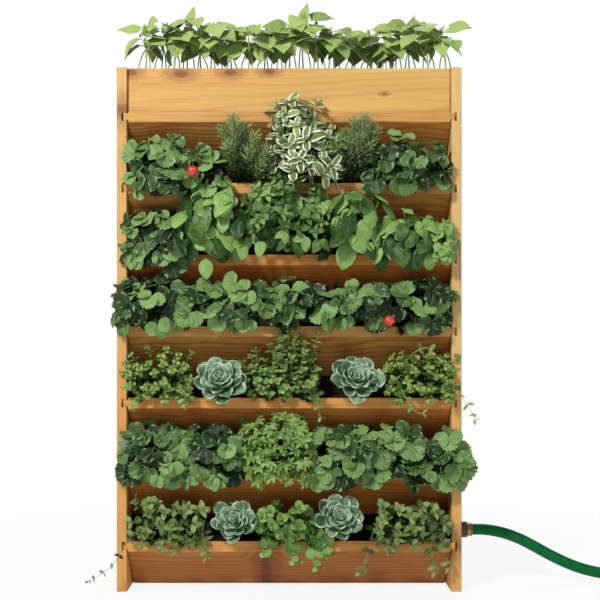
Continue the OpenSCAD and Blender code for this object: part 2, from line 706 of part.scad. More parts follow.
leaf_green = "#3f8f2a";
dark_green = "#2f6b2a";
pale_green = "#8fae3c";
frost_green = "#9db8a8";

module strawberry_6_left() color(leaf_green) planted(5, -1, -0.38) {
    bush(5, -0.8, 74, 104, 62, seed = 10);
    bush(5, -0.53, 58, 78, 48, seed = 50);
    berry(5, -0.55, 58);
}
module rosemary_6_left() color(dark_green) planted(5, -0.38, -0.15)
    sprigs(5, -0.265, 124);
module sage_6() color(pale_green) planted(5, -0.15, 0.24, 1.24 * tier_pitch) {
    bush(5, 0.02, 58, 176, 58, 10, 8, seed = 20);
    bush(5, 0.13, 52, 128, 66, 10, 7, seed = 60);
}
module rosemary_6_right() color(dark_green) planted(5, 0.24, 0.5)
    sprigs(5, 0.37, 122);
module strawberry_6_right() color(leaf_green) planted(5, 0.5, 1) {
    bush(5, 0.64, 62, 104, 56, seed = 30);
    bush(5, 0.85, 56, 88, 52, seed = 70);
}

module strawberry_5() color(leaf_green) planted(4, -1.03, -0.66)
    bush(4, -0.84, 72, 100, 64, seed = 15);
module basil_5_left() color(leaf_green) planted(4, -0.66, -0.25)
    bush(4, -0.46, 76, 140, 72, 10, 7, 0.26, 35);
module balm_5() color(leaf_green) planted(4, -0.25, 0.26) {
    bush(4, -0.08, 60, 150, 58, 10, 7, 0.3, 25);
    bush(4, 0.1, 60, 128, 52, 10, 7, 0.3, 65);
}
module basil_5_right() color(leaf_green) planted(4, 0.26, 1.04) {
    bush(4, 0.43, 60, 134, 60, 10, 7, 0.26, 45);
    bush(4, 0.8, 88, 88, 70, 12, 7, 0.28, 85);
}

module strawberry_4_left() color(leaf_green) planted(3, -1.13, -0.4) {
    bush(3, -0.88, 88, 106, 66, seed = 5);
    bush(3, -0.53, 62, 96, 52, seed = 55);
}
module strawberry_4_middle() color(leaf_green) planted(3, -0.4, 0.32) {
    bush(3, -0.2, 78, 98, 58, seed = 95);
    bush(3, 0.13, 76, 104, 60, seed = 12);
}
module strawberry_4_right() color(leaf_green) planted(3, 0.32, 1.05) {
    bush(3, 0.5, 72, 98, 58, seed = 42);
    bush(3, 0.83, 78, 106, 62, seed = 72);
    berry(3, 0.57, 62);
}

module oregano_3_left() color(pale_green) planted(2, -1, -0.58)
    bush(2, -0.79, 78, 96, 62, 16, 9, 0.24, 22);
module echeverias_3() color(frost_green) {
    planted(2, -0.58, -0.25) rosette(2, -0.415, 54);
    planted(2, 0.26, 0.58) rosette(2, 0.42, 52);
}
module thyme_3() color(pale_green) planted(2, -0.25, 0.26)
    bush(2, 0, 92, 122, 54, 18, 9, 0.24, 52);
module oregano_3_right() color(leaf_green) planted(2, 0.58, 1.1)
    bush(2, 0.83, 92, 98, 66, 16, 9, 0.26, 82);

module strawberry_2_left() color(leaf_green) planted(1, -1.04, -0.28) {
    bush(1, -0.82, 76, 104, 62, seed = 18);
    bush(1, -0.48, 72, 98, 56, seed = 48);
}
module parsley_2() color(pale_green) planted(1, -0.28, 0.15)
    bush(1, -0.065, 78, 124, 60, 16, 9, 0.26, 78);
module strawberry_2_right() color(leaf_green) planted(1, 0.15, 1.13) {
    bush(1, 0.34, 68, 98, 56, seed = 28);
    bush(1, 0.64, 70, 104, 60, seed = 58);
    bush(1, 0.94, 76, 98, 66, seed = 88);
}

module mint_1_left() color(leaf_green) {
    planted(0, -1, -0.46) bush(0, -0.73, 84, 92, 56, 14, 8, 0.28, 33);
    trail(0, -0.73, [-1, 0.4, 1.4], 58);
}
module echeverias_1() color(frost_green) {
    planted(0, -0.46, -0.18) rosette(0, -0.32, 46);
    planted(0, 0.16, 0.45) rosette(0, 0.3, 48);
}
module ivy_1() color(leaf_green) {
    planted(0, -0.18, 0.16) bush(0, -0.01, 60, 78, 52, 14, 8, 0.28, 63);
    trail(0, -0.01, [-0.6, 0.7], 46);
}
module mint_1_right() color(leaf_green) {
    planted(0, 0.45, 1.02) bush(0, 0.73, 92, 98, 58, 14, 8, 0.28, 93);
    trail(0, 0.73, [-1, 0.2, 1.2], 62);
}

// Shoots that leave a bush on the lowest tier and hang in front of its slat
module trail(i, share, turns, drop) for (turn = turns)
    shoot([at_x(share) + 22 * turn, yf - 12, rim_z(i) + 18], 50 * turn,
        drop * (1 - 0.12 * abs(turn)), 24);

side_left();
side_right();
front_board();
slat(0);  // slat_1
slat(1);  // slat_2
slat(2);  // slat_3
slat(3);  // slat_4
slat(4);  // slat_5
slat(5);  // slat_6
slat(6);  // slat_7
back_board(0);  // back_board_1
back_board(1);  // back_board_2
back_board(2);  // back_board_3
back_board(3);  // back_board_4
back_board(4);  // back_board_5
back_board(5);  // back_board_6
floor_board();
soil();
inlet_fitting();
inlet_washer();
inlet_locknut();
inlet_seal();
inlet_nut();
inlet_elbow();
riser_pipe();
riser_tees();
drip_lines();
pipe_caps();
hose_coupling();
hose_run();
hose_coil();
hose_tail_collar();
hose_end_nut();
hose_end_seal();
beans_left();
beans_middle();
beans_right();
strawberry_6_left();
rosemary_6_left();
sage_6();
rosemary_6_right();
strawberry_6_right();
strawberry_5();
basil_5_left();
balm_5();
basil_5_right();
strawberry_4_left();
strawberry_4_middle();
strawberry_4_right();
oregano_3_left();
echeverias_3();
thyme_3();
oregano_3_right();
strawberry_2_left();
parsley_2();
strawberry_2_right();
mint_1_left();
echeverias_1();
ivy_1();
mint_1_right();
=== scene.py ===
"""Looks for the vertical garden planter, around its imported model. Metres throughout."""
import math
from itertools import combinations

import bpy
import numpy as np
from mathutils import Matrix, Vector, noise


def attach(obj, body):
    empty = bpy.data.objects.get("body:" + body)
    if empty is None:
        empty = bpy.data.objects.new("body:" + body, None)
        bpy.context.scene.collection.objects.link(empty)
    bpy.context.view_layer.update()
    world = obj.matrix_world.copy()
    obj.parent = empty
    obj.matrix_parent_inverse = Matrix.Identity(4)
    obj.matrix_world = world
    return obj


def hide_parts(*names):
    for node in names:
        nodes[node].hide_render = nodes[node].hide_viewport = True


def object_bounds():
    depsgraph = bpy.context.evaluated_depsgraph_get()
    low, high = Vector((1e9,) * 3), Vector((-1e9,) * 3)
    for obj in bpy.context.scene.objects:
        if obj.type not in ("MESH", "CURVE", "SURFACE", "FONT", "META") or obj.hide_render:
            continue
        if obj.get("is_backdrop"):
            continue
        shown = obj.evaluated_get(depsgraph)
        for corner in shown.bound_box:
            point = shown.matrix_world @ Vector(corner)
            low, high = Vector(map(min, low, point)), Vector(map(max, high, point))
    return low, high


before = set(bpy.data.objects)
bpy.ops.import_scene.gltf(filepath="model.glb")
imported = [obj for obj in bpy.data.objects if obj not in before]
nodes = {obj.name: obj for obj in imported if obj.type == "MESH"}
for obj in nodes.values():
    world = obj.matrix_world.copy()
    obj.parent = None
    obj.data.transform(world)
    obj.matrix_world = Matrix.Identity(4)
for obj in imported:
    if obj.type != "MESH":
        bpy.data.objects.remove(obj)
cad_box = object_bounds()
scene = bpy.context.scene

# Sizes, as in part.scad
FRONT_Y = -0.1145
INNER_W = 0.706
PITCH = 0.1557
RIM_1 = 0.11095
SLAT_W = 0.1397
SLAT_COUNT = 7
BOARD_T = 0.0165
SOIL_TOP = 1.11815
# The slats' slope, and its sine and cosine
SLOPE = math.radians(45)
ROOT_HALF = math.sqrt(0.5)


def rim_z(tier):
    """Height of a tier's front edge. Tiers count from 0 at the bottom."""
    return RIM_1 + PITCH * tier


def at_x(share):
    return share * INNER_W / 2


def shown(name, data):
    """A new object in the scene."""
    obj = bpy.data.objects.new(name, data)
    scene.collection.objects.link(obj)
    return obj


# Camera
lens = bpy.data.cameras.new("camera")
lens.sensor_width = 36
lens.lens = 65.4
lens.shift_x = 0.018
lens.shift_y = 0.083
camera = shown("camera", lens)
camera.location = (0, -2.484, 0.526)
camera.rotation_euler = (math.radians(90), 0, 0)
scene.camera = camera


# Node trees
def linear(r, g, b):
    """An sRGB colour, 0 to 255, as linear RGBA."""
    def one(v):
        v /= 255
        return v / 12.92 if v <= 0.04045 else ((v + 0.055) / 1.055) ** 2.4
    return (one(r), one(g), one(b), 1)


class Nodes:
    """A node tree, written as calls that return sockets."""

    def __init__(self, tree):
        self.tree = tree

    def put(self, socket, value):
        if isinstance(value, bpy.types.NodeSocket):
            self.tree.links.new(value, socket)
        else:
            socket.default_value = value

    def add(self, kind, inputs=(), out=0, **settings):
        node = self.tree.nodes.new("ShaderNode" + kind)
        for key, value in settings.items():
            setattr(node, key, value)
        for key, value in dict(inputs).items():
            self.put(node.inputs[key], value)
        return node.outputs[out]

    def math(self, operation, a, b=0.0, c=0.0):
        return self.add("Math", {0: a, 1: b, 2: c}, operation=operation)

    def plus(self, a, b):
        return self.math("ADD", a, b)

    def minus(self, a, b):
        return self.math("SUBTRACT", a, b)

    def times(self, a, b, c=0.0):
        """a times b, plus c."""
        return self.math("MULTIPLY_ADD", a, b, c)

    def most(self, a, b):
        return self.math("MAXIMUM", a, b)

    def smooth(self, value, low, high, to_low=0.0, to_high=1.0):
        """Smooth step from low to high."""
        return self.add("MapRange", {"Value": value, "From Min": low, "From Max": high,
                                     "To Min": to_low, "To Max": to_high},
                        interpolation_type="SMOOTHSTEP")

    def mix(self, factor, a, b):
        """From colour a to b. A plain colour is written as sRGB, 0 to 255."""
        node = self.tree.nodes.new("ShaderNodeMix")
        node.data_type = "RGBA"
        self.put(node.inputs[0], factor)
        for socket, colour in ((6, a), (7, b)):
            self.put(node.inputs[socket],
                     linear(*colour) if isinstance(colour, tuple) else colour)
        return node.outputs[2]

    def noise(self, vector, scale, detail=2.0, rough=0.5):
        return self.add("TexNoise", {"Vector": vector, "Scale": scale, "Detail": detail,
                                     "Roughness": rough})

    def drawn(self, vector, scales, detail=2.0, rough=0.5):
        """Noise with its own scale along each axis."""
        return self.noise(self.mapped(vector, scales), 1, detail, rough)

    def place(self):
        """The point in the shared frame, since every object sits at the origin."""
        return self.add("TexCoord", out=3)

    def parts(self, vector):
        node = self.tree.nodes.new("ShaderNodeSeparateXYZ")
        self.put(node.inputs[0], vector)
        return node.outputs[0], node.outputs[1], node.outputs[2]

    def vector(self, x, y, z):
        return self.add("CombineXYZ", {0: x, 1: y, 2: z})

    def mapped(self, vector, scale=(1, 1, 1), move=(0, 0, 0), turn=(0, 0, 0)):
        return self.add("Mapping", {"Vector": vector, "Location": move, "Rotation": turn,
                                    "Scale": scale})

    def bump(self, height, distance, strength):
        return self.add("Bump", {"Height": height, "Distance": distance,
                                 "Strength": strength})

    def rays(self, *kinds):
        """1 for the named kinds of ray."""
        node = self.tree.nodes.new("ShaderNodeLightPath")
        seen = 0.0
        for kind in kinds:
            seen = self.most(seen, node.outputs[kind])
        return seen


class Tree(Nodes):
    """One material's nodes. values are set on its shader."""

    def __init__(self, name, **values):
        self.material = bpy.data.materials.new(name)
        self.material.use_nodes = True
        super().__init__(self.material.node_tree)
        self.bsdf = self.tree.nodes["Principled BSDF"]
        for key, value in values.items():
            self.bsdf.inputs[key.replace("_", " ")].default_value = value

    def finish(self, colour, roughness, normal):
        self.put(self.bsdf.inputs["Base Color"], colour)
        self.put(self.bsdf.inputs["Roughness"], roughness)
        self.put(self.bsdf.inputs["Normal"], normal)
        return self.material


def wear(node, material):
    """Gives a CAD node its finished material."""
    data = nodes[node].data
    data.materials.clear()
    data.materials.append(material)


# Mesh pieces
def piece(name, verts, faces, material, smooth=True):
    mesh = bpy.data.meshes.new(name)
    mesh.from_pydata([tuple(v) for v in verts], [], [tuple(f) for f in faces])
    mesh.materials.append(material)
    mesh.polygons.foreach_set("use_smooth", [smooth] * len(mesh.polygons))
    if smooth:
        mesh.set_sharp_from_angle(angle=math.radians(60))
    mesh.update()
    return shown(name, mesh)


def frames_along(points):
    """Two unit vectors across a path at each of its points, turning as little as they can."""
    along = np.gradient(points, axis=0)
    along /= np.linalg.norm(along, axis=1)[:, None]
    side = np.cross(along[0], (0, 0, 1) if abs(along[0][2]) < 0.9 else (0, 1, 0))
    side /= np.linalg.norm(side)
    sides = []
    for tangent in along:
        side = side - tangent * side.dot(tangent)
        side /= np.linalg.norm(side)
        sides.append(side)
    sides = np.array(sides)
    return sides, np.cross(along, sides)


def tube(points, radii, count):
    """A closed tube with flat ends: its vertices, and its faces with the ends first."""
    points = np.asarray(points, float)
    radii = np.broadcast_to(radii, len(points))
    side, up = frames_along(points)
    turn = np.arange(count) * 2 * math.pi / count
    ring = (np.cos(turn)[None, :, None] * side[:, None]
            + np.sin(turn)[None, :, None] * up[:, None])
    verts = (points[:, None] + radii[:, None, None] * ring).reshape(-1, 3)
    faces = [tuple(range(count))[::-1],
             tuple(range((len(points) - 1) * count, len(points) * count))]
    for k in range(len(points) - 1):
        for j in range(count):
            a, b = k * count + j, k * count + (j + 1) % count
            faces.append((a, b, b + count, a + count))
    return verts, faces


def curve_through(knots, step):
    """Points about a step apart on a Catmull-Rom curve through the knots."""
    knots = np.asarray(knots, float)
    padded = np.vstack([2 * knots[0] - knots[1], knots, 2 * knots[-1] - knots[-2]])
    out = []
    for a, b, c, d in zip(padded, padded[1:], padded[2:], padded[3:]):
        count = max(1, round(np.linalg.norm(c - b) / step))
        for t in np.arange(count) / count:
            out.append(0.5 * (2 * b + (c - a) * t + (2 * a - 5 * b + 4 * c - d) * t ** 2
                              + (3 * b - a - 3 * c + d) * t ** 3))
    out.append(knots[-1])
    return np.array(out)


# Hose
# The route's points are those of hose_route, coil_point and tail_points in part.scad.
HOSE_D = 0.025
HOSE_START = 0.4154
INLET_Z = 0.117
LYING_Z = 0.0127
hose_route = [(0, 1), (25, 1), (50, .97), (80, .9), (110, .79), (140, .645), (170, .485),
              (200, .34), (230, .215), (260, .12), (290, .055), (320, .018), (350, 0),
              (390, 0), (430, 0)]
COIL_TURNS = 3
COIL_RINGS = 24
COIL_INNER = 0.106
COIL_X, COIL_Y = 0.8704, -0.145
TURN_STEP = 0.026


def coil_point(turn):
    back = turn - COIL_TURNS / 2
    radius = COIL_INNER + TURN_STEP * abs(back)
    angle = math.radians(90 - 360 * turn)
    climb = (1 + math.sin(math.radians(360 * max(-0.25, min(0.25, back))))) / 2
    return (COIL_X + radius * math.cos(angle), COIL_Y + radius * math.sin(angle),
            LYING_Z + TURN_STEP * climb)


tail_drops = [(30, 1), (60, .9), (90, .55), (120, .15), (145, 0), (170, 0)]
TAIL_LOW, TAIL_HIGH = 0.0182, LYING_Z + TURN_STEP
route = [(HOSE_START + d / 1000, 0, LYING_Z + (INLET_Z - LYING_Z) * share)
         for d, share in hose_route]
route += [coil_point(k / COIL_RINGS) for k in range(COIL_TURNS * COIL_RINGS + 1)]
route += [(COIL_X + d / 1000, 0, TAIL_LOW + (TAIL_HIGH - TAIL_LOW) * share)
          for d, share in tail_drops]


def hose_skin():
    t = Tree("hose_green", Specular_IOR_Level=0.12, Coat_Weight=0.06, Coat_Roughness=0.25)
    spot = t.place()
    dust = t.noise(spot, 60, 4, 0.6)
    scuff = t.drawn(spot, (40, 300, 300))
    return t.finish(t.mix(t.smooth(dust, 0.35, 0.8, 0, 0.5), (0, 98, 46), (4, 120, 60)),
                    t.smooth(scuff, 0.3, 0.7, 0.3, 0.46), t.bump(dust, 0.00015, 0.4))


hose_verts, hose_faces = tube(curve_through(route, 0.008), HOSE_D / 2, 24)
hose = piece("hose", hose_verts, hose_faces, hose_skin())
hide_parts("hose_run", "hose_coil")
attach(hose, "planter")


# Cedar
def knot_marks(t, along, wide, rough_edge, knots):
    """How far each place lies inside a knot, and how far the knots push the grain."""
    mask, push = 0.0, 0.0
    for k_along, k_wide, size in knots:
        da = t.times(t.minus(along, k_along), 0.5 / size)
        dw = t.times(t.minus(wide, k_wide), 1 / size)
        far = t.times(da, da, t.times(dw, dw))
        ragged = t.times(far, t.times(rough_edge, 1.6, 0.2))
        near = t.most(t.smooth(ragged, 0.1, 1.5, 1, 0), t.smooth(ragged, 0.4, 6.0, 0.5, 0))
        mask = t.most(mask, near)
        push = t.times(t.smooth(far, 0.0, 8.0, 1, 0), 1.1 * size, push)
    return mask, push


def cedar(name, grain, seed, pith, tone=0.0, red=0.0, knots=(), rings=0.0048, painted_lit_edge=0.0,
          contrast=0.5):
    """Sawn cedar. grain says how the board lies: "slat", "panel" or "board". pith is the
    distance from the board's middle, across and through it, to the heart of the log,
    rings the width of a year, and knots are (along, across, size) on the board's face."""
    t = Tree(name, Specular_IOR_Level=0.35)
    spot = t.place()
    if grain == "slat":
        along, deep, wide = t.parts(t.mapped(spot, turn=(SLOPE, 0, 0)))
    elif grain == "panel":
        deep, wide, along = t.parts(spot)
    else:
        along, deep, wide = t.parts(spot)
    rng = np.random.default_rng(seed)
    move = tuple(float(v) for v in rng.uniform(-9, 9, 3))
    tilt_wide, tilt_deep = (float(v) for v in rng.uniform(-0.035, 0.035, 2))
    shifted = t.mapped(t.vector(along, wide, deep), move=move)
    mask, push = knot_marks(t, along, wide, t.drawn(shifted, (120, 260, 260)), knots)

    # year rings round the pith, bent by slow and quick waves
    slow = t.drawn(shifted, (2.6, 2, 2) if grain == "slat" else (0.9, 6, 6))
    sway = t.drawn(shifted, (3.2, 22, 22))
    v = t.minus(t.times(along, tilt_wide, wide), pith[0])
    w = t.minus(t.times(along, tilt_deep, deep), pith[1])
    radius = t.math("SQRT", t.times(v, v, t.times(w, w)))
    radius = t.times(slow, 0.07 if grain == "slat" else 0.05, radius)
    radius = t.plus(t.times(sway, 0.006, radius), push)
    ring = t.math("FRACT", t.math("DIVIDE", radius, rings))
    late = t.times(t.smooth(ring, 0.3, 0.86), t.smooth(ring, 0.9, 1.0, 1, 0))
    band = t.noise(t.vector(t.times(radius, 90), 0, 0), 1)
    fibre = t.drawn(shifted, (7, 420, 420), 3, 0.6)
    pore = t.drawn(shifted, (30, 1400, 1400))
    cloud = t.drawn(shifted, (2.2, 9, 9), 3)

    base = t.mix(t.smooth(cloud, 0.3, 0.72, 0.0, 0.8), (222, 184, 100), (198, 144, 66))
    base = t.mix(t.smooth(band, 0.35, 0.7, 0, 0.4), base, (198, 120, 54))
    base = t.mix(t.times(late, contrast), base, (150, 78, 30))
    base = t.mix(t.smooth(fibre, 0.42, 0.75, 0, 0.36), base, (168, 98, 42))
    base = t.mix(t.smooth(fibre, 0.5, 0.2, 0, 0.2), base, (236, 196, 134))
    if tone:
        base = t.mix(abs(tone), base, (136, 84, 16) if tone > 0 else (240, 212, 152))
    if red:
        base = t.mix(red, base, (176, 84, 12))
    if grain == "panel":
        base = t.mix(t.smooth(along, 0.58, 0.4, 0, 0.34), base, (224, 142, 54))
    if grain == "slat":
        # Large soft patches on the slats: the darker ones are painted shadows of leaves, the
        # paler ones painted light between them.
        leaf_shadow_patch = t.drawn(shifted, (7, 3, 3), 2, 0.6)
        base = t.mix(t.smooth(leaf_shadow_patch, 0.48, 0.7, 0, 0.45), base, (140, 62, 14))
        base = t.mix(t.smooth(leaf_shadow_patch, 0.42, 0.25, 0, 0.3), base, (206, 128, 50))
    if knots:
        base = t.mix(t.times(mask, 0.82), base, (112, 50, 24))
    # Faces turned to the front, the slats' front strips, get a paler colour: painted light, as
    # if the lamp lit them while the sloping faces stay in shade.
    if painted_lit_edge:
        facing = t.parts(t.add("TexCoord", out=1))[1]
        edge = t.smooth(facing, -0.85, -0.95, 0, painted_lit_edge)
        pale, dark = (228, 168, 88), (202, 130, 58)
        if red <= 0.3:
            pale, dark = (212, 166, 94), (188, 128, 62)
        base = t.mix(edge, base, t.mix(t.smooth(fibre, 0.35, 0.7), pale, dark))
    height = t.times(late, 0.5, t.times(fibre, 0.6, t.times(pore, 0.4)))
    return t.finish(base, t.smooth(fibre, 0.2, 0.8, 0.5, 0.72), t.bump(height, 0.0007, 0.6))


def dress_slats():
    knots = {0: [(-0.05, -0.02, 0.009)], 2: [(-0.21, 0.0, 0.008)],
             5: [(0.14, -0.03, 0.007)], 6: [(-0.16, 0.02, 0.009)]}
    # The tones darken each slat, in part the wood's own deeper colour and in part painted shade
    # on the sloping faces that face down. Tier index 4 gets a far darker tone, more red and less
    # painted light on its front strip: painted shadow from the plants above it.
    reds = (0.42, 0.42, 0.42, 0.1, 0.36, 0.1, 0.1)
    tones_and_shade = (0.42, 0.42, 0.42, 0.42, 0.85, 0.42, 0.42)
    lit_edges = (0.85, 0.85, 0.85, 0.85, 0.55, 0.85, 0.85)
    piths = ((0.02, 0.05), (-0.04, 0.05), (0.0, 0.045), (0.04, 0.06), (-0.02, 0.05),
             (0.03, 0.04), (-0.01, 0.045))
    for tier in range(SLAT_COUNT):
        # a slat's middle, turned into its own axes
        mid_y = FRONT_Y + SLAT_W / 2 * ROOT_HALF
        mid_z = rim_z(tier) - SLAT_W / 2 * ROOT_HALF
        deep, wide = ROOT_HALF * (mid_y - mid_z), ROOT_HALF * (mid_y + mid_z)
        pith = (wide + piths[tier][0], deep - piths[tier][1])
        own_knots = [(x, wide + v, size) for x, v, size in knots.get(tier, ())]
        wear("slat_%d" % (tier + 1),
             cedar("cedar_slat_%d" % (tier + 1), "slat", 80 + tier, pith, tone=tones_and_shade[tier],
                   red=reds[tier], knots=own_knots, rings=0.0095, painted_lit_edge=lit_edges[tier],
                   contrast=0.66))


def dress_boards():
    panel_knots = (
        ("side_left", [(1.045, -0.108, 0.012), (0.62, 0.04, 0.012), (0.27, -0.05, 0.011)]),
        ("side_right", [(0.1, -0.106, 0.013), (0.8, 0.03, 0.013), (0.47, -0.06, 0.009)]))
    # The right panel's paler tone is painted light, making up for the weaker light that reaches
    # that side.
    for k, (name, knots) in enumerate(panel_knots):
        wear(name, cedar("cedar_" + name, "panel", 40 + k, (0.09 - 0.05 * k, 0.16),
                         tone=-0.18 - 0.18 * k, knots=knots, contrast=0.36))
    top_knots = [(-0.346, 1.131, 0.009), (-0.236, 1.128, 0.0105), (-0.128, 1.131, 0.009),
                 (-0.043, 1.133, 0.008), (0.208, 1.085, 0.0035)]
    wear("front_board", cedar("cedar_front", "board", 60, (1.02, 0.22), tone=-0.12,
                              knots=top_knots, rings=0.0065, contrast=0.2))
    for k in range(6):
        pith = (0.1 + 0.19 * k + 0.05 * (k % 3), 0.2 - 0.05 * (k % 2))
        knots = [(-0.25 + 0.11 * k, 0.12 + 0.19 * k, 0.009)] if k % 2 else ()
        wear("back_board_%d" % (k + 1),
             cedar("cedar_back_%d" % (k + 1), "board", 100 + k, pith, tone=0.1,
                   knots=knots))
    wear("floor_board", cedar("cedar_floor", "board", 120, (0.05, 0.1), tone=0.2))


# Fittings
def moulded(name, dark, light, roughness):
    t = Tree(name, Specular_IOR_Level=0.5)
    spot = t.place()
    smear = t.drawn(spot, (30, 60, 60), 3)
    dust = t.smooth(t.noise(spot, 35, 4, 0.6), 0.45, 0.75, 0, 0.5)
    return t.finish(t.mix(dust, dark, light),
                    t.smooth(smear, 0.3, 0.7, roughness - 0.07, roughness + 0.1),
                    t.bump(t.noise(spot, 900), 0.00012, 0.5))


def brass():
    t = Tree("brass", Metallic=1.0)
    spot = t.place()
    tarnish = t.noise(spot, 90, 4, 0.6)
    turned_marks = t.drawn(spot, (2600, 20, 20), 1)
    return t.finish(t.mix(t.smooth(tarnish, 0.35, 0.75), (196, 172, 104), (132, 118, 66)),
                    t.smooth(tarnish, 0.3, 0.7, 0.24, 0.42),
                    t.bump(turned_marks, 0.00006, 0.5))


def dress_fittings():
    for material, names in (
            (moulded("black_plastic", (26, 27, 28), (58, 58, 56), 0.38),
             ("inlet_fitting", "inlet_locknut", "inlet_elbow")),
            (moulded("pipe_plastic", (34, 35, 36), (62, 62, 60), 0.45),
             ("riser_pipe", "riser_tees", "pipe_caps")),
            (moulded("drip_plastic", (52, 38, 28), (84, 70, 56), 0.5), ("drip_lines",)),
            (moulded("seal_rubber", (20, 20, 21), (50, 49, 47), 0.65),
             ("inlet_washer", "inlet_seal", "hose_end_seal")),
            (moulded("nut_plastic", (64, 56, 50), (116, 104, 92), 0.34),
             ("inlet_nut", "hose_end_nut")),
            (brass(), ("hose_coupling", "hose_tail_collar"))):
        for node in names:
            wear(node, material)


dress_slats()
dress_boards()
dress_fittings()

# Soil
SOIL_BACK_Y = 0.0857
SOIL_SIDE_X = 0.3526
SOIL_STEP = 0.0065
SOIL_GAP = 0.00042
# How far the soil starts from a slat's front edge, along its face, and behind the top rim
LIP = 0.014
FRONT_IN = 0.0248
CRUMBS = 900
CRUMB_SEED = 77


def soil_runs():
    """The soil's outline as (y, z) corners with, for each, whether the run that starts
    there lies open. It follows the floor, the slats' upper faces and their rear edges."""
    lip = LIP * ROOT_HALF
    floor_z = BOARD_T + SOIL_GAP
    runs = [((SOIL_BACK_Y, floor_z), False),
            ((FRONT_Y + rim_z(0) - floor_z + SOIL_GAP, floor_z), False)]
    for tier in range(SLAT_COUNT - 1):
        z = rim_z(tier + 1)
        runs.append(((FRONT_Y + lip, rim_z(tier) - lip), True))
        runs.append(((FRONT_Y + (SLAT_W - BOARD_T) * ROOT_HALF,
                      z - (SLAT_W + BOARD_T) * ROOT_HALF - SOIL_GAP), False))
        runs.append(((FRONT_Y + SLAT_W * ROOT_HALF + SOIL_GAP, z - SLAT_W * ROOT_HALF),
                     False))
    front = FRONT_Y + FRONT_IN
    runs.append(((front, rim_z(SLAT_COUNT - 1) - FRONT_IN + SOIL_GAP), False))
    return runs + [((front, SOIL_TOP), True), ((SOIL_BACK_Y, SOIL_TOP), False)]


def soil_line():
    """The outline's points, and how far and which way each may be pushed."""
    runs = soil_runs()
    line, lift = [], []
    for (a, is_open), (b, _) in zip(runs, runs[1:] + runs[:1]):
        a, b = np.array(a), np.array(b)
        far = np.linalg.norm(b - a)
        count = max(1, round(far / SOIL_STEP)) if is_open else 1
        out = np.array([a[1] - b[1], b[0] - a[0]]) / far
        for k in range(count):
            fade = min(1, k / 2, (count - k) / 2) if is_open else 0
            line.append(a + (b - a) * k / count)
            lift.append(out * fade)
    return np.array(line), np.array(lift)


def crumbs(points, open_rows):
    """Small lumps, half sunk in the open soil."""
    rng = np.random.default_rng(CRUMB_SEED)
    # an icosahedron: its corners, and its sides wound outwards
    gold = (1 + math.sqrt(5)) / 2
    ball = np.array([np.roll((a, b * gold, 0), turn)
                     for turn in range(3) for b in (1, -1) for a in (-1, 1)])
    ball /= np.linalg.norm(ball[0])
    sides = [side if np.linalg.det(ball[list(side)]) > 0 else side[::-1]
             for side in combinations(range(len(ball)), 3)
             if np.linalg.norm(ball[list(side)].sum(axis=0)) > 2.3]
    for _ in range(CRUMBS):
        c, r = int(rng.integers(2, len(points) - 2)), int(rng.choice(open_rows))
        size = rng.uniform(0.0012, 0.0042) * rng.uniform(0.5, 1)
        at = points[c, r] + rng.uniform(-0.003, 0.003, 3) * (1, 0.3, 0.3)
        lump = ball * size * rng.uniform(0.6, 1.3, (len(ball), 1)) * rng.uniform(0.6, 1.2, 3)
        yield at + lump, sides


def soil_skin():
    t = Tree("soil", Specular_IOR_Level=0.25)
    spot = t.place()
    crumb = t.noise(spot, 240, 4, 0.65)
    damp = t.noise(spot, 18, 3)
    speck = t.smooth(t.add("TexVoronoi", {"Vector": spot, "Scale": 520.0}), 0.22, 0.12)
    colour = t.mix(t.smooth(crumb, 0.3, 0.75), (14, 11, 8), (50, 38, 28))
    colour = t.mix(t.smooth(damp, 0.4, 0.65, 0, 0.5), colour, (10, 8, 6))
    colour = t.mix(t.times(speck, 0.5), colour, (92, 70, 48))
    return t.finish(colour, t.smooth(damp, 0.3, 0.7, 0.95, 0.8), t.bump(crumb, 0.0022, 0.9))


def build_soil():
    """The tiers' soil, uneven where it lies open, with crumbs lying on it."""
    line, lift = soil_line()
    columns = round(2 * SOIL_SIDE_X / SOIL_STEP) + 1
    rows = len(line)
    points = np.empty((columns, rows, 3))
    for c in range(columns):
        x = -SOIL_SIDE_X + 2 * SOIL_SIDE_X * c / (columns - 1)
        edge = min(1, c / 2, (columns - 1 - c) / 2)
        for r in range(rows):
            y, z = line[r]
            push = 0.0
            if lift[r].any() and edge:
                spot = Vector((x, y, z))
                push = edge * (0.0042 * noise.noise(spot * 45)
                               + 0.0024 * noise.noise(spot * 140) - 0.0012)
            points[c, r] = (x, y + push * lift[r][0], z + push * lift[r][1])
    faces = [tuple(range(rows)), tuple(range((columns - 1) * rows, columns * rows))[::-1]]
    for c in range(columns - 1):
        for r in range(rows):
            a, b = c * rows + r, c * rows + (r + 1) % rows
            faces.append((b, a, a + rows, b + rows))
    verts = list(points.reshape(-1, 3))
    open_rows = [r for r in range(rows) if np.linalg.norm(lift[r]) > 0.9]
    for lump, sides in crumbs(points, open_rows):
        faces += [tuple(len(verts) + i for i in side) for side in sides]
        verts += list(lump)
    soil = piece("potting_soil", verts, faces, soil_skin(), smooth=False)
    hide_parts("soil")
    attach(soil, "planter")


build_soil()


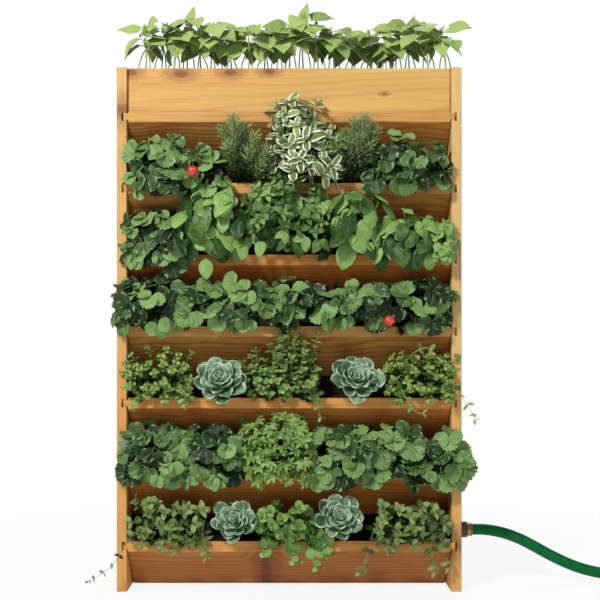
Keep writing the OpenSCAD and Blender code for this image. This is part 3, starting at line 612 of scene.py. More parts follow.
# Leaves
class Leaf:
    """A closed leaf of length 1 along +Y, upper side +Z: a grid of stations along it and
    columns across it, with both sides sharing their rim. ear draws the rim back behind the
    stalk, as on a heart, and teeth cuts its rim."""

    def __init__(self, stations, widths, cols=5, teeth=0.0, ear=0.0, thick=0.012):
        s = np.asarray(stations, float)
        w = np.asarray(widths, float)
        rows = len(s) - 2
        t = np.linspace(-1, 1, cols)
        ss, ww = s[1:-1, None], w[1:-1, None]
        notch = np.where(np.arange(rows) % 2 == 0, 1.0, 1 - teeth)[:, None]
        rim = np.abs(t)[None] ** 6
        x = t[None] * ww * (1 - rim + rim * notch)
        y = ss + 0 * x - ear * (1 - ss) ** 4 * (t[None] ** 2)
        z = thick * (1 - t[None] ** 2) + 0 * x
        top = np.stack([x, y, z], -1).reshape(-1, 3)
        low = np.stack([x, y, -z], -1)[:, 1:-1].reshape(-1, 3)
        self.points = np.vstack([[0, s[0], 0], top, low, [0, s[-1], 0]])
        self.t = np.concatenate([[0], np.tile(t, rows), np.tile(t[1:-1], rows), [0]])
        self.s = np.concatenate([[s[0]], np.repeat(s[1:-1], cols),
                                 np.repeat(s[1:-1], cols - 2), [s[-1]]])
        self.skin(rows, cols, tip=len(self.points) - 1)

    def skin(self, rows, cols, tip=None):
        """Both sides' faces. The last row is shared rim where the leaf has no tip point."""
        def at(side, k, j):
            if side or j in (0, cols - 1) or (tip is None and k == rows - 1):
                return 1 + k * cols + j
            return 1 + rows * cols + k * (cols - 2) + j - 1

        faces, sides = [], []
        for side in (1, 0):
            for j in range(cols - 1):
                strip = [(0, at(side, 0, j + 1), at(side, 0, j))]
                for k in range(rows - 1):
                    strip.append((at(side, k, j), at(side, k, j + 1),
                                  at(side, k + 1, j + 1), at(side, k + 1, j)))
                if tip:
                    strip.append((tip, at(side, rows - 1, j), at(side, rows - 1, j + 1)))
                faces += [face if side else face[::-1] for face in strip]
                sides += [side] * len(strip)
        self.totals = np.array([len(face) for face in faces])
        self.corners = np.concatenate(faces)
        self.side = np.repeat(sides, self.totals)


class Fan(Leaf):
    """A closed leaf whose columns spread from its stalk, so that teeth or lobes cut all of
    its rim. radii are its reach at even steps of angle from its midrib to its side."""

    def __init__(self, side, radii, cols, rows=3, teeth=0.0, thick=0.012):
        turn = np.linspace(-side, side, cols)
        smooth = np.interp(np.abs(turn), np.linspace(0, side, len(radii)), radii)
        rim = smooth * np.where(np.arange(cols) % 2 == 0, 1.0, 1 - teeth)
        u = (np.arange(1, rows + 1) / rows)[:, None]
        reach = np.where(u < 1, u * smooth, rim)
        x = reach * np.sin(np.radians(turn))
        y = reach * np.cos(np.radians(turn))
        z = thick * (1 - u ** 2) * (1 - (turn / side) ** 2)
        top = np.stack([x, y, z], -1).reshape(-1, 3)
        low = np.stack([x, y, -z], -1)[:-1, 1:-1].reshape(-1, 3)
        self.points = np.vstack([[0, 0, 0], top, low])
        flat_x, flat_y = self.points[:, 0], self.points[:, 1]
        self.t = flat_x / flat_x.max()
        self.s = (flat_y - flat_y.min()) / np.ptp(flat_y)
        self.skin(rows, cols)


def outline(count, power, fall, width):
    """Stations and half-widths of a leaf: power shapes its base and fall its tip."""
    s = np.linspace(0, 1, count)
    w = s ** power * (1 - s) ** fall
    return s, w / w.max() * width


OBOVATE = Fan(84, [1, 1, .98, .93, .85, .74, .61, .46, .3], 25, teeth=.085)
BASIL = Leaf(*outline(10, .62, .8, .34), 7, thick=.01)
BALM = Leaf(*outline(11, .55, .95, .34), 5, teeth=.1)
SAGE = Leaf(*outline(8, .58, .62, .25), 5, thick=.02)
SMALL = Leaf(*outline(6, .6, .6, .36), 3, thick=.03)
MINT = Leaf(*outline(9, .5, .75, .32), 5, teeth=.12)
ROUND = Leaf([0, .06, .16, .3, .45, .6, .74, .86, .95, 1],
             [0, .22, .38, .48, .52, .52, .47, .37, .23, 0], 5, teeth=.09, ear=.16)
PARSLEY = Fan(75, [1, .74, .42, .8, .62, .36, .5], 13, 2)
NEEDLE = Leaf([0, .15, .8, 1], [0, .065, .08, 0], 3, thick=.035)
FLESHY = Leaf([0, .12, .3, .5, .66, .79, .88, .945, .98, 1],
              [0, .17, .27, .37, .43, .43, .37, .25, .1, 0], 7, thick=.05)
HEART = Leaf([0, .05, .13, .23, .35, .48, .61, .74, .87, 1],
             [0, .26, .39, .45, .45, .4, .32, .21, .1, 0], 5, ear=.2)
SEPAL = Leaf(*outline(5, .4, .9, .2), 3, thick=.03)
WHORL_TURN = 137.5
ROSETTE_TURN = 137.508


def unit(v):
    v = np.asarray(v, float)
    return v / (np.linalg.norm(v) + 1e-12)


def turned(v, axis, degrees):
    """v turned about a unit axis."""
    a = math.radians(degrees)
    return (v * math.cos(a) + np.cross(axis, v) * math.sin(a)
            + axis * np.dot(axis, v) * (1 - math.cos(a)))


def across(v, axis):
    """The part of v square to a unit axis, as a unit vector."""
    return unit(v - axis * np.dot(v, axis))


def bezier(a, b, c, count):
    t = np.linspace(0, 1, count)[:, None]
    return (1 - t) ** 2 * np.asarray(a) + 2 * t * (1 - t) * np.asarray(b) + t * t * np.asarray(c)


class Growth:
    """Collects the leaves and stems of one piece. Each corner carries its leaf's colour values:
    along the leaf, out from its midrib, the leaf's tint, which below zero is painted shade for
    leaves deep in a plant, and its upper side."""

    def __init__(self, seed):
        self.rng = np.random.default_rng(seed)
        self.points, self.corners, self.totals = [], [], []
        self.values, self.uv, self.cells, self.slots = [], [], [], []
        self.size = 0

    def keep(self, points, corners, totals, values, uv, slot):
        """Takes one leaf or stem. values and uv are lists of one array per channel."""
        thing = len(self.points)
        self.points.append(points)
        self.corners.append(corners + self.size)
        self.totals.append(totals)
        self.values.append(np.stack(np.broadcast_arrays(*values), -1))
        self.uv.append(np.stack(uv, -1))
        self.cells.append(np.full(len(corners), thing))
        self.slots.append(np.full(len(totals), slot))
        self.size += len(points)

    def leaf(self, form, at, forward, up, length, width=1.0, fold=0.15, droop=0.3, cup=0.0,
             wave=0.0, tint=None):
        f = unit(forward)
        n = np.asarray(up, float)
        n = n - f * n.dot(f)
        if np.linalg.norm(n) < 1e-3:
            n = np.cross(f, (1, 0, 0.3))
        n = unit(n)
        r = np.cross(f, n)
        x, y, z = form.points.T
        bend = droop * y
        run = np.sinc(bend / np.pi) * y
        drop = y * np.where(np.abs(bend) > 1e-4, (1 - np.cos(bend)) / (bend + 1e-9), 0)
        phase = self.rng.uniform(0, 6.3)
        z = z + fold * np.abs(x * width) + cup * (x * width) ** 2
        z = z + wave * np.sin(9 * y + phase + 1.5 * np.sign(x)) * form.t ** 2
        co = length * ((x * width)[:, None] * r + (run + np.sin(bend) * z)[:, None] * f
                       + (np.cos(bend) * z - drop)[:, None] * n)
        tint = self.rng.uniform() if tint is None else tint
        along, out = form.s[form.corners], form.t[form.corners]
        self.keep(co + np.asarray(at), form.corners, form.totals,
                  [along, np.abs(out), tint, form.side],
                  [np.where(form.side, 0.25, 0.75) + 0.22 * out, 0.04 + 0.92 * along], 0)

    def stem(self, path, radii, slot=1, count=5):
        points, faces = tube(path, radii, count)
        rings = len(points) // count
        fans = [(end[0], end[j], end[j + 1]) for end in faces[:2]
                for j in range(1, count - 1)]
        ends, sides = np.ravel(fans), np.array(faces[2:])
        corners = np.concatenate([ends, sides.ravel()])
        along = np.repeat(np.linspace(0, 1, rings), count)
        spin = ends % count * 2 * math.pi / count
        col = (np.arange(len(sides)) % count)[:, None] + (0, 1, 1, 0)
        row = (np.arange(len(sides)) // count)[:, None] + (0, 0, 1, 1)
        u = np.concatenate([0.93 + 0.04 * np.cos(spin), 0.05 + 0.8 * col.ravel() / count])
        v = np.concatenate([np.where(ends < count, 0.3, 0.7) + 0.04 * np.sin(spin),
                            0.05 + 0.9 * row.ravel() / max(1, rings - 1)])
        totals = np.repeat([3, 4], [len(fans), len(sides)])
        self.keep(points, corners, totals, [along[corners], 0.5, self.rng.uniform(), 1],
                  [u, v], slot)

    def build(self, name, materials, node, slot):
        points, totals = np.vstack(self.points), np.concatenate(self.totals)
        corners, cells = np.concatenate(self.corners), np.concatenate(self.cells)
        mesh = bpy.data.meshes.new(name)
        mesh.vertices.add(len(points))
        mesh.vertices.foreach_set("co", points.astype(np.float32).ravel())
        mesh.loops.add(len(corners))
        mesh.loops.foreach_set("vertex_index", corners.astype(np.int32))
        mesh.polygons.add(len(totals))
        starts = np.cumsum(totals) - totals
        mesh.polygons.foreach_set("loop_start", starts.astype(np.int32))
        mesh.polygons.foreach_set("loop_total", totals.astype(np.int32))
        for material in materials:
            mesh.materials.append(material)
        slots = np.concatenate(self.slots)
        mesh.polygons.foreach_set("material_index", slots.astype(np.int32))
        mesh.polygons.foreach_set("use_smooth", np.ones(len(totals), dtype=bool))
        mesh.update(calc_edges=True)

        leaf = mesh.attributes.new("leaf", "FLOAT_COLOR", "CORNER")
        leaf.data.foreach_set("color", np.vstack(self.values).astype(np.float32).ravel())
        # each leaf has its own cell of the bake's square
        grid = math.ceil(math.sqrt(len(self.points)))
        cell = np.stack([cells % grid, cells // grid], -1)
        layer = mesh.uv_layers.new(name="OFBake")
        flat = (cell + np.vstack(self.uv)) / grid
        layer.data.foreach_set("uv", flat.astype(np.float32).ravel())
        mesh.set_sharp_from_angle(angle=math.radians(75))
        obj = shown(name, mesh)
        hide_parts(node)
        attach(obj, "planter")


# Leaf materials
def foliage(name, dark, light, under, vein, veins, rough, margin=None, vein_mix=0.5,
            slant=0.55, bump=0.0005, gloss=0.2, rim=0.7, soft=0.12, hollow_shade=0.3):
    """A leaf's skin. veins is the number of side veins, slant how far they run forward, stripe
    how much painted shade lies between them, and margin a pale rim's colour."""
    t = Tree(name, Specular_IOR_Level=gloss)
    along, out, tint = t.parts(t.add("Attribute", attribute_name="leaf"))
    side = t.add("Attribute", out=3, attribute_name="leaf")
    spot = t.place()
    cloud = t.noise(spot, 70, 3, 0.6)
    phase = t.times(t.minus(along, t.times(out, slant)), veins)
    wavy = t.math("ABSOLUTE", t.minus(t.math("FRACT", phase), 0.5))
    middle = t.smooth(out, 0.12, 0.02)
    clear = t.smooth(tint, -0.7, 0.3, 0.2, 1)
    vein_mask = t.times(t.most(middle, t.times(t.smooth(wavy, 0.22, 0.5), 0.75)), clear)
    shade = t.times(cloud, 0.55, t.times(tint, 0.6))
    colour = t.mix(t.smooth(shade, 0.2, 0.85), dark, light)
    # Painted shade in the hollows between the side veins.
    vein_hollow_shade = t.times(clear, t.smooth(wavy, 0.3, 0.0, 0, hollow_shade))
    colour = t.mix(vein_hollow_shade, colour, dark)
    colour = t.mix(t.times(vein_mask, vein_mix), colour, vein)
    if margin is not None:
        ragged = t.times(cloud, 0.5, out)
        colour = t.mix(t.smooth(ragged, rim, rim + soft), colour, margin)
    colour = t.mix(side, t.mix(t.times(vein_mask, 0.5), under, vein), colour)
    # Leaves with a tint below zero darken towards near black green: painted shade for leaves
    # deep in a plant.
    colour = t.mix(t.smooth(tint, 0.05, -1.0, 0, 0.9), colour, (6, 16, 5))
    pillow = t.times(t.noise(spot, 900), 0.12, t.smooth(wavy, 0.5, 0.1))
    height = t.minus(pillow, t.times(middle, 0.8))
    roughness = t.smooth(cloud, 0.3, 0.7, rough - 0.06, rough + 0.1)
    return t.finish(colour, roughness, t.bump(height, bump, 0.7))


def stalk_skin(name, low, high):
    t = Tree(name)
    along = t.parts(t.add("Attribute", attribute_name="leaf"))[0]
    spot = t.place()
    cloud = t.noise(spot, 150, 3)
    mixed = t.times(along, 0.6, t.times(cloud, 0.5))
    return t.finish(t.mix(t.smooth(mixed, 0.1, 0.9), low, high),
                    t.smooth(cloud, 0.3, 0.7, 0.42, 0.6),
                    t.bump(t.drawn(spot, (900, 900, 90), 1), 0.0002, 0.5))


def berry_skin():
    t = Tree("berry_skin", Coat_Weight=0.4, Coat_Roughness=0.15)
    spot = t.place()
    seed = t.smooth(t.add("TexVoronoi", {"Vector": spot, "Scale": 330.0}), 0.32, 0.2)
    tone = t.noise(spot, 160)
    return t.finish(t.mix(seed, t.mix(tone, (176, 14, 22), (222, 44, 40)), (226, 170, 84)),
                    t.smooth(tone, 0.3, 0.7, 0.22, 0.34),
                    t.bump(t.times(seed, -1.0), 0.0006, 0.8))


# Each kind of plant, by the first word of its pieces' names: its leaf material, its stalk
# and its slot, then its dark and its light green, its underside, its veins' colour and
# number, its roughness and named values
KINDS = {
    "strawberry": (
        "strawberry_leaf", "dusky_stalk", "strawberry_leaves", (12, 38, 8), (128, 164, 92),
        (128, 156, 104), (164, 198, 134), 7, 0.38,
        {"vein_mix": 0.24, "bump": 0.0003, "slant": 0.6}),
    "basil": (
        "basil_leaf", "green_stalk", "herb_leaves", (28, 66, 14), (136, 174, 92),
        (138, 172, 98), (150, 188, 112), 6, 0.32,
        {"vein_mix": 0.12, "bump": 0.0006, "gloss": 0.3, "hollow_shade": 0.14}),
    "balm": (
        "balm_leaf", "green_stalk", "herb_leaves", (32, 72, 16), (150, 184, 108),
        (148, 178, 112), (164, 198, 124), 7, 0.4, {"vein_mix": 0.25, "bump": 0.0007}),
    "sage": (
        "sage_leaf", "green_stalk", "pale_leaves", (70, 96, 46), (148, 170, 108),
        (190, 200, 160), (176, 192, 140), 9, 0.55,
        {"margin": (246, 247, 216), "rim": 0.84, "vein_mix": 0.2}),
    "rosemary": (
        "rosemary_needle", "woody_stalk", "dark_leaves", (26, 58, 18), (152, 182, 106),
        (168, 182, 142), (132, 160, 100), 1, 0.42, {"vein_mix": 0.2}),
    "oregano": (
        "oregano_leaf", "pale_stalk", "pale_leaves", (50, 88, 20), (164, 190, 104),
        (160, 182, 112), (170, 196, 114), 5, 0.42, {}),
    "thyme": (
        "thyme_leaf", "green_stalk", "herb_leaves", (38, 76, 18), (148, 176, 98),
        (148, 174, 112), (156, 186, 110), 5, 0.42, {}),
    "parsley": (
        "parsley_leaf", "pale_stalk", "pale_leaves", (46, 90, 20), (140, 172, 84),
        (152, 180, 108), (168, 196, 112), 6, 0.38, {}),
    "mint": (
        "mint_leaf", "pink_stalk", "dark_leaves", (36, 68, 20), (150, 174, 102),
        (146, 168, 112), (158, 184, 116), 7, 0.4, {}),
    "ivy": (
        "vine_leaf", "pale_stalk", "herb_leaves", (48, 92, 26), (134, 174, 90),
        (150, 182, 108), (166, 200, 120), 6, 0.34, {}),
    "echeverias": (
        "echeveria_leaf", "green_stalk", "echeveria_leaves", (58, 98, 62), (174, 204, 166),
        (92, 128, 92), (128, 162, 126), 1, 0.42,
        {"margin": (206, 222, 192), "rim": 0.8, "soft": 0.5, "vein_mix": 0.1,
         "bump": 0.0003}),
    "beans": (
        "bean_leaf", "pale_stalk", "bean_leaves", (74, 112, 34), (172, 196, 112),
        (170, 192, 124), (192, 210, 146), 6, 0.4, {"vein_mix": 0.3, "bump": 0.0008}),
}
STALKS = {"green_stalk": ((70, 104, 44), (136, 170, 84)),
          "dusky_stalk": ((18, 34, 10), (66, 92, 40)),
          "woody_stalk": ((92, 74, 50), (112, 132, 78)),
          "pink_stalk": ((146, 92, 78), (150, 140, 92)),
          "pale_stalk": ((116, 140, 62), (176, 198, 110))}


# Where plants grow
# A tier's soil slopes up from just inside its front edge to the next slat
CROWN_Y = FRONT_Y + 0.03
SOIL_IN = 0.0099
SOIL_REAR_Y, SOIL_RISE = -0.02738, 0.04483
PANEL_X = 0.375
WRAP = math.radians(100)
GOLDEN_SHARE = 0.6180339887
PLASTIC_SHARE = 0.7548776662


def soil_z(tier, y):
    """Height of a tier's soil at a depth."""
    low_y, low_z = FRONT_Y + SOIL_IN, rim_z(tier) - SOIL_IN
    rise = rim_z(tier) + SOIL_RISE - low_z
    return low_z + (min(y, SOIL_REAR_Y) - low_y) * rise / (SOIL_REAR_Y - low_y)


def crown_at(tier, share, sunk=0.004):
    """Where a plant's stems come out of the soil."""
    return np.array([at_x(share), CROWN_Y, soil_z(tier, CROWN_Y) - sunk])


def room(tier, z, margin):
    """How far back a leaf may reach at a height, short of the boards and the soil."""
    rel = z - rim_z(tier)
    if rel < -0.005 or rel > 0.13:
        return FRONT_Y - margin
    if rel < 0.045:
        return FRONT_Y + SOIL_IN + (rel + SOIL_IN) * 1.4 - margin
    return -0.0274 - (rel - 0.045) - 1.4 * margin


class Bush:
    """The mound that a plant fills. share is its middle as a share of half the planter's
    inner width; half is half its width, up its top above its board's front edge, out
    its reach in front of that edge and low its lowest point, in metres."""

    def __init__(self, tier, share, half, up, out, low=-0.024):
        self.tier, self.x = tier, at_x(share)
        self.half, self.up, self.out, self.low = half, up, out, low
        self.mid_z = rim_z(tier) + (up + low) / 2
        self.half_z = (up - low) / 2
        self.crown = crown_at(tier, share)

    def spots(self, count, shell, turn=0.0, low=-0.75, ragged=0.0):
        """Evenly strewn places on the mound's front, with the way that each faces. ragged
        is how far they lie above or under the mound's skin, as a share."""
        for k in range(count):
            sin_el = low + (0.98 - low) * (k + 0.5) / count
            cos_el = math.sqrt(1 - sin_el ** 2)
            az = WRAP * (2 * ((turn + k * GOLDEN_SHARE) % 1.0) - 1)
            d = np.array([math.sin(az) * cos_el, -math.cos(az) * cos_el, sin_el])
            soft = np.sign(d) * np.abs(d) ** 0.8
            depth = shell * (1 + ragged * (2 * (k * PLASTIC_SHARE % 1.0) - 1))
            p = np.array([self.x, FRONT_Y + 0.004, self.mid_z]) + depth * soft * (
                self.half, self.out, self.half_z)
            yield p, unit(d / (self.half, self.out, self.half_z))

    def beside(self, p, margin):
        return abs(p[0]) > PANEL_X - 2.6 * margin

    def clear(self, p, margin):
        """p moved forward out of the boards, and in front of the side panels."""
        p = p.copy()
        front = FRONT_Y - margin
        p[1] = min(p[1], front if self.beside(p, margin) else room(self.tier, p[2], margin))
        return p

    def bent(self, p, spread, ahead, lift, margin):
        """Where a stem to p starts, and its bend on the way."""
        base = self.crown + (spread * (p[0] - self.x), 0, 0)
        far = np.linalg.norm(p - base)
        knee = (base + p) / 2 + (0, -ahead * far, lift * far)
        knee[1] = min(knee[1], room(self.tier, knee[2], margin))
        return base, knee

    def stalk_to(self, g, p, radius):
        base, knee = self.bent(p, 0.3, 0.15, 0.35, radius + 0.002)
        if abs(p[0]) > PANEL_X - 0.03:
            knee[1] = min(knee[1], FRONT_Y - 0.022)
        knee[2] = min(knee[2], max(p[2], base[2]) + 0.02)
        g.stem(bezier(base, knee, p, 7), np.linspace(1.25, 0.8, 7) * radius)


def strewn(g, bush, count, layers, jitter, margin, stalk, ragged, low=-0.75, often=1.0):
    """A mound's places in layers, from its heart to its skin, each with its stalk. A layer
    is its depth, its share of the count and what else its leaves need, and often is the
    share of places that get a stalk."""
    for shell, share, *rest in layers:
        for p, out in bush.spots(int(count * share), shell, g.rng.uniform(), low, ragged):
            p = bush.clear(p + g.rng.normal(0, jitter, 3), margin)
            if often == 1 or g.rng.uniform() < often:
                bush.stalk_to(g, p, stalk)
            yield p, out, *rest


def faced(g, out, share, lean, spread):
    """The way that a leaf faces: the mound's own, a lean towards light, and chance."""
    return unit(share * out + lean + g.rng.normal(0, spread, 3))


def ahead(g, out, share, lean, spread, facing):
    """The way that a leaf points, square to the way that it faces."""
    return across(share * out + lean + g.rng.normal(0, spread, 3), facing)


def whorl(g, form, p, axis, count, size, low, high, **how):
    """Leaves all round a shoot's tip, the inner ones shorter and steeper."""
    rng = g.rng
    a = across(np.array([1.0, 0.2, 0.1]), axis)
    for k in range(count):
        part = k / max(1, count - 1)
        radial = turned(a, axis, WHORL_TURN * k + rng.uniform(-10, 10))
        lift = math.radians(low + (high - low) * part + rng.uniform(-7, 7))
        f = math.cos(lift) * radial + math.sin(lift) * axis
        g.leaf(form, p - 0.004 * (1 - part) * axis, f, axis - 0.6 * radial,
               size * (1 - 0.5 * part) * rng.uniform(0.85, 1.1), **how)


def trifoliate(g, p, facing, forward, size, tint, spread=72, form=OBOVATE, **how):
    rng = g.rng
    for turn, scale in ((0, 1.08), (spread, 1), (-spread, 1)):
        f = turned(forward, facing, turn + rng.uniform(-9, 9))
        up = unit(facing + rng.normal(0, 0.16, 3))
        own = tint + rng.normal(0, 0.12)
        g.leaf(form, p + 0.0015 * f, f, up, size * scale * rng.uniform(0.9, 1.06),
               width=rng.uniform(0.92, 1.1), tint=own, **how)


def strawberry(g, bush, per_m2=1000):
    rng = g.rng
    count = 2 * bush.half * (bush.up - bush.low) * per_m2
    # Tints below zero are painted shade: the inner layers lie dark inside the mound, and on tier
    # index 3 the outer layer reaches darker too. Leaves beside the side panels get no painted
    # shade.
    dimmest = -0.45 if bush.tier == 3 else -0.2
    layers = (0.3, 0.5, -1.3, -0.7), (0.58, 0.6, -0.9, 0.0), (0.86, 0.9, dimmest, 1.0)
    for p, out, low, high in strewn(g, bush, count, layers, 0.004, 0.016, 0.0011, 0.14):
        facing = faced(g, out, 0.6, (0, -0.45, 0.5), 0.26)
        forward = ahead(g, out, 0.5, (0, -0.15, -0.55), 0.4, facing)
        tint = rng.uniform(low, high)
        if bush.beside(p, 0.016):
            tint = abs(tint)
        trifoliate(g, p, facing, forward, rng.uniform(0.027, 0.038), tint,
                   fold=rng.uniform(0.15, 0.6), droop=rng.uniform(-0.2, 0.9),
                   cup=rng.uniform(-0.5, 0.2), wave=0.05)


def basil(g, bush, count, size=0.066):
    rng = g.rng
    # The inner layers' tints below zero are painted shade inside the bush.
    layers = ((0.3, 0.7, 0.9, -1.2, -0.6, False), (0.5, 0.5, 0.85, -0.4, 0.3, True),
              (0.78, 1.0, 1.0, -0.15, 0.9, True))
    for p, out, scale, low, high, young in strewn(g, bush, count, layers, 0.004, 0.022,
                                                  0.0013, 0.12, low=-0.62):
        facing = faced(g, out, 0.55, (0, -0.4, 0.5), 0.24)
        forward = ahead(g, out, 0.5, (0, -0.2, -0.7), 0.4, facing)
        g.leaf(BASIL, p, forward, facing, size * scale * rng.uniform(0.68, 1.08),
               width=rng.uniform(0.85, 1.08), fold=rng.uniform(0.08, 0.3),
               cup=rng.uniform(-1.4, -0.6), droop=rng.uniform(0.35, 1.3), wave=0.014,
               tint=rng.uniform(low, high))
        if rng.uniform() < 0.6 and young:
            g.leaf(BASIL, p, ahead(g, out, 0, (0, -0.4, 0.3), 1, facing), facing,
                   size * 0.42, fold=0.4, droop=0.5, tint=0.9)


def balm(g, bush, count, size=0.031):
    """Whorled tips on the upper half, leaves that hang from their stems below."""
    rng = g.rng
    # The inner layers' tints below zero are painted shade inside the bush.
    layers = (0.3, 0.5, -1.2, -0.6), (0.58, 0.5, -0.3, 0.3), (0.88, 1.0, 0.1, 1.0)
    for p, out, low, high in strewn(g, bush, count, layers, 0.004, 0.016, 0.0011, 0.12,
                                    often=0.5):
        bright = rng.uniform(low, high)
        if out[2] < -0.1 and rng.uniform() < 0.4:
            continue
        # Painted shade: some of the lower leaves get a tint 0.7 darker.
        if out[2] < -0.1 and rng.uniform() < 0.4:
            bright -= 0.7
        if out[2] > -0.25 and rng.uniform() < 0.75:
            axis = faced(g, out, 1, (0, -0.45, 0.5), 0.24)
            whorl(g, BALM, p, axis, 6, size * rng.uniform(0.8, 1.1), 2, 58, fold=0.25,
                  droop=rng.uniform(0.1, 0.9), wave=0.02, width=0.78, tint=bright)
            continue
        facing = faced(g, out, 0.6, (0, -0.4, 0.35), 0.2)
        forward = ahead(g, out, 0.2, (0, -0.1, -0.8), 0.32, facing)
        for side in (-1, 1):
            g.leaf(BALM, p, turned(forward, facing, side * rng.uniform(8, 50)), facing,
                   size * rng.uniform(0.85, 1.25), width=rng.uniform(0.8, 1.0),
                   fold=rng.uniform(0.1, 0.36), droop=rng.uniform(0.3, 1.0),
                   cup=-0.3, wave=0.02, tint=bright - 0.15)


def sage(g, bush, count, size=0.044):
    rng = g.rng
    # The inner layer's tints below zero are painted shade inside the bush.
    layers = (0.45, 0.6, -0.9, -0.2), (0.86, 1.0, 0.1, 0.9)
    for p, out, low, high in strewn(g, bush, count, layers, 0.006, 0.02, 0.0013, 0.15,
                                    low=-0.7):
        axis = faced(g, out, 0.75, (0, -0.35, 0.45), 0.3)
        whorl(g, SAGE, p, axis, 6, size * rng.uniform(0.75, 1.1), 0, 62, fold=0.2,
              droop=rng.uniform(0.1, 0.8), wave=0.02, width=rng.uniform(0.9, 1.2),
              tint=rng.uniform(low, high))


def parsley(g, bush, count, size):
    rng = g.rng
    # The inner layers' tints below zero are painted shade inside the bush.
    layers = (0.35, 0.5, -1.1, -0.4), (0.62, 0.5, -0.3, 0.4), (0.88, 1.0, 0.1, 1.0)
    for p, out, low, high in strewn(g, bush, count, layers, 0.005, 0.014, 0.0009, 0.22):
        facing = faced(g, out, 0.6, (0, -0.4, 0.55), 0.35)
        forward = ahead(g, out, 1, (0, -0.1, -0.3), 0.5, facing)
        long = size * rng.uniform(0.7, 1.1)
        droop = rng.uniform(0, 0.9)
        trifoliate(g, p, facing, forward, long, rng.uniform(low, high), 62, PARSLEY,
                   fold=0.3, droop=droop, wave=0.06)


def rosemary(g, bush, lean, count=9, size=0.025):
    """Upright sprigs that spread as they rise, with needles all round."""
    rng = g.rng
    for k in range(count):
        part = (k + 0.5) / count * 2 - 1
        tall = 0.98 - 0.34 * abs(part + 0.2 - lean) ** 1.4 - 0.4 * (k % 2) * rng.uniform(0.5, 1)
        tip = np.array([bush.x + bush.half * (1.1 * part + 0.35 * lean),
                        FRONT_Y - 0.012 - rng.uniform(0.2, 1) * bush.out,
                        rim_z(bush.tier) + bush.up * tall])
        base = bush.crown + (0.3 * bush.half * part, 0, 0)
        knee = 0.5 * (base + tip) + (-0.12 * bush.half * part, -0.02, -0.008)
        knee[1] = min(knee[1], room(bush.tier, knee[2], 0.008))
        rows = max(12, round(np.linalg.norm(tip - base) / 0.0052))
        path = bezier(base, knee, tip, rows)
        g.stem(path, np.linspace(0.0016, 0.0008, rows))
        tangents = np.gradient(path, axis=0)
        for j in range(3, rows):
            axis = unit(tangents[j])
            a = across(np.array([1.0, 0.2, 0.1]), axis)
            for m in range(5):
                radial = turned(a, axis, 72 * m + 40 * j + rng.uniform(-12, 12))
                f = radial + rng.uniform(0.4, 1.0) * axis
                short = 0.6 if j > rows - 3 else 1.0
                # Needles low on the sprig get tints below zero, painted shade, growing lighter
                # towards the tip.
                g.leaf(NEEDLE, path[j] + (m / 5) * tangents[j], f, axis,
                       size * short * rng.uniform(0.75, 1.1), fold=-0.5, droop=-0.3,
                       tint=rng.uniform(-0.9, -0.3) + 1.5 * j / rows)


def shoots(g, bush, count, form, size, pairs, stalk=0.0008, start=0.3, upright=0.0, **how):
    """Thin shoots from the crown to the mound's front, with leaves in crossed pairs."""
    rng = g.rng
    for p, _ in bush.spots(count, 0.82, rng.uniform(), -0.7, 0.24):
        p = bush.clear(p + rng.normal(0, 0.007, 3), 0.012)
        base, knee = bush.bent(p, 0.45, 0.12, 0.35 - 0.3 * upright, 0.006)
        sprig(g, bezier(base, knee, p, 14), form, size, pairs, stalk, start, **how)


def sprig(g, path, form, size, pairs, stalk, start, **how):
    """A shoot along a path, with crossed pairs of leaves from start to its tip."""
    rng = g.rng
    g.stem(path, np.linspace(1.2, 0.6, len(path)) * stalk, count=4)
    tangents = np.gradient(path, axis=0)
    last = len(path) - 1
    for j in range(pairs):
        at = (start + (1 - start) * (j + 0.3) / pairs) * last
        k = int(at)
        p = path[k] + (at - k) * (path[min(k + 1, last)] - path[k])
        axis = unit(tangents[k])
        a = across(np.array([1.0, 0.15, 0.1]), axis)
        scale = 1 - 0.35 * j / pairs
        # Pairs low on the shoot get tints below zero, painted shade, and the pairs grow lighter
        # towards the tip.
        tint = rng.uniform(-0.8, -0.1) + 1.5 * j / pairs
        for side in (0, 180):
            radial = turned(a, axis, 90 * j + side + rng.uniform(-22, 22))
            f = unit(0.85 * radial + 0.35 * axis)
            up = unit(0.5 * axis + np.array([0, -0.5, 0.75]) + rng.normal(0, 0.2, 3))
            g.leaf(form, p, f, up, size * scale * rng.uniform(0.8, 1.15), tint=tint, **how)
    whorl(g, form, path[-1], unit(tangents[-1]), 3, size * 0.75, 30, 70,
          tint=rng.uniform(0.3, 1), **how)


def runner(g, knots, size, **how):
    """A long loose shoot through the given points."""
    sprig(g, curve_through(knots, 0.006), MINT, size, 6, 0.0009, 0.2, **how)


def trails(g, share, root, yaw, drops, form, size, pairs, **how):
    """Shoots that arch over the lowest board's edge and hang in front of it. drops gives
    each one's turn, in steps of yaw degrees, and how far it hangs. root is where it starts,
    from the crown, its x for each step."""
    for turn, drop in drops:
        start = crown_at(0, share) + (root[0] * turn, root[1], root[2])
        aside = math.sin(math.radians(yaw * turn))
        arch = start + (0.035 * aside, -0.022, 0.012)
        arch[1] = min(arch[1], FRONT_Y - 0.012)
        tip = arch + (0.5 * drop * aside, -0.008, -drop)
        path = curve_through([start, (start + arch) / 2 + (0, 0, 0.006), arch,
                              (arch + tip) / 2 + (0.004, -0.008, 0), tip], 0.006)
        sprig(g, path, form, size, pairs, 0.0009, 0.25, **how)


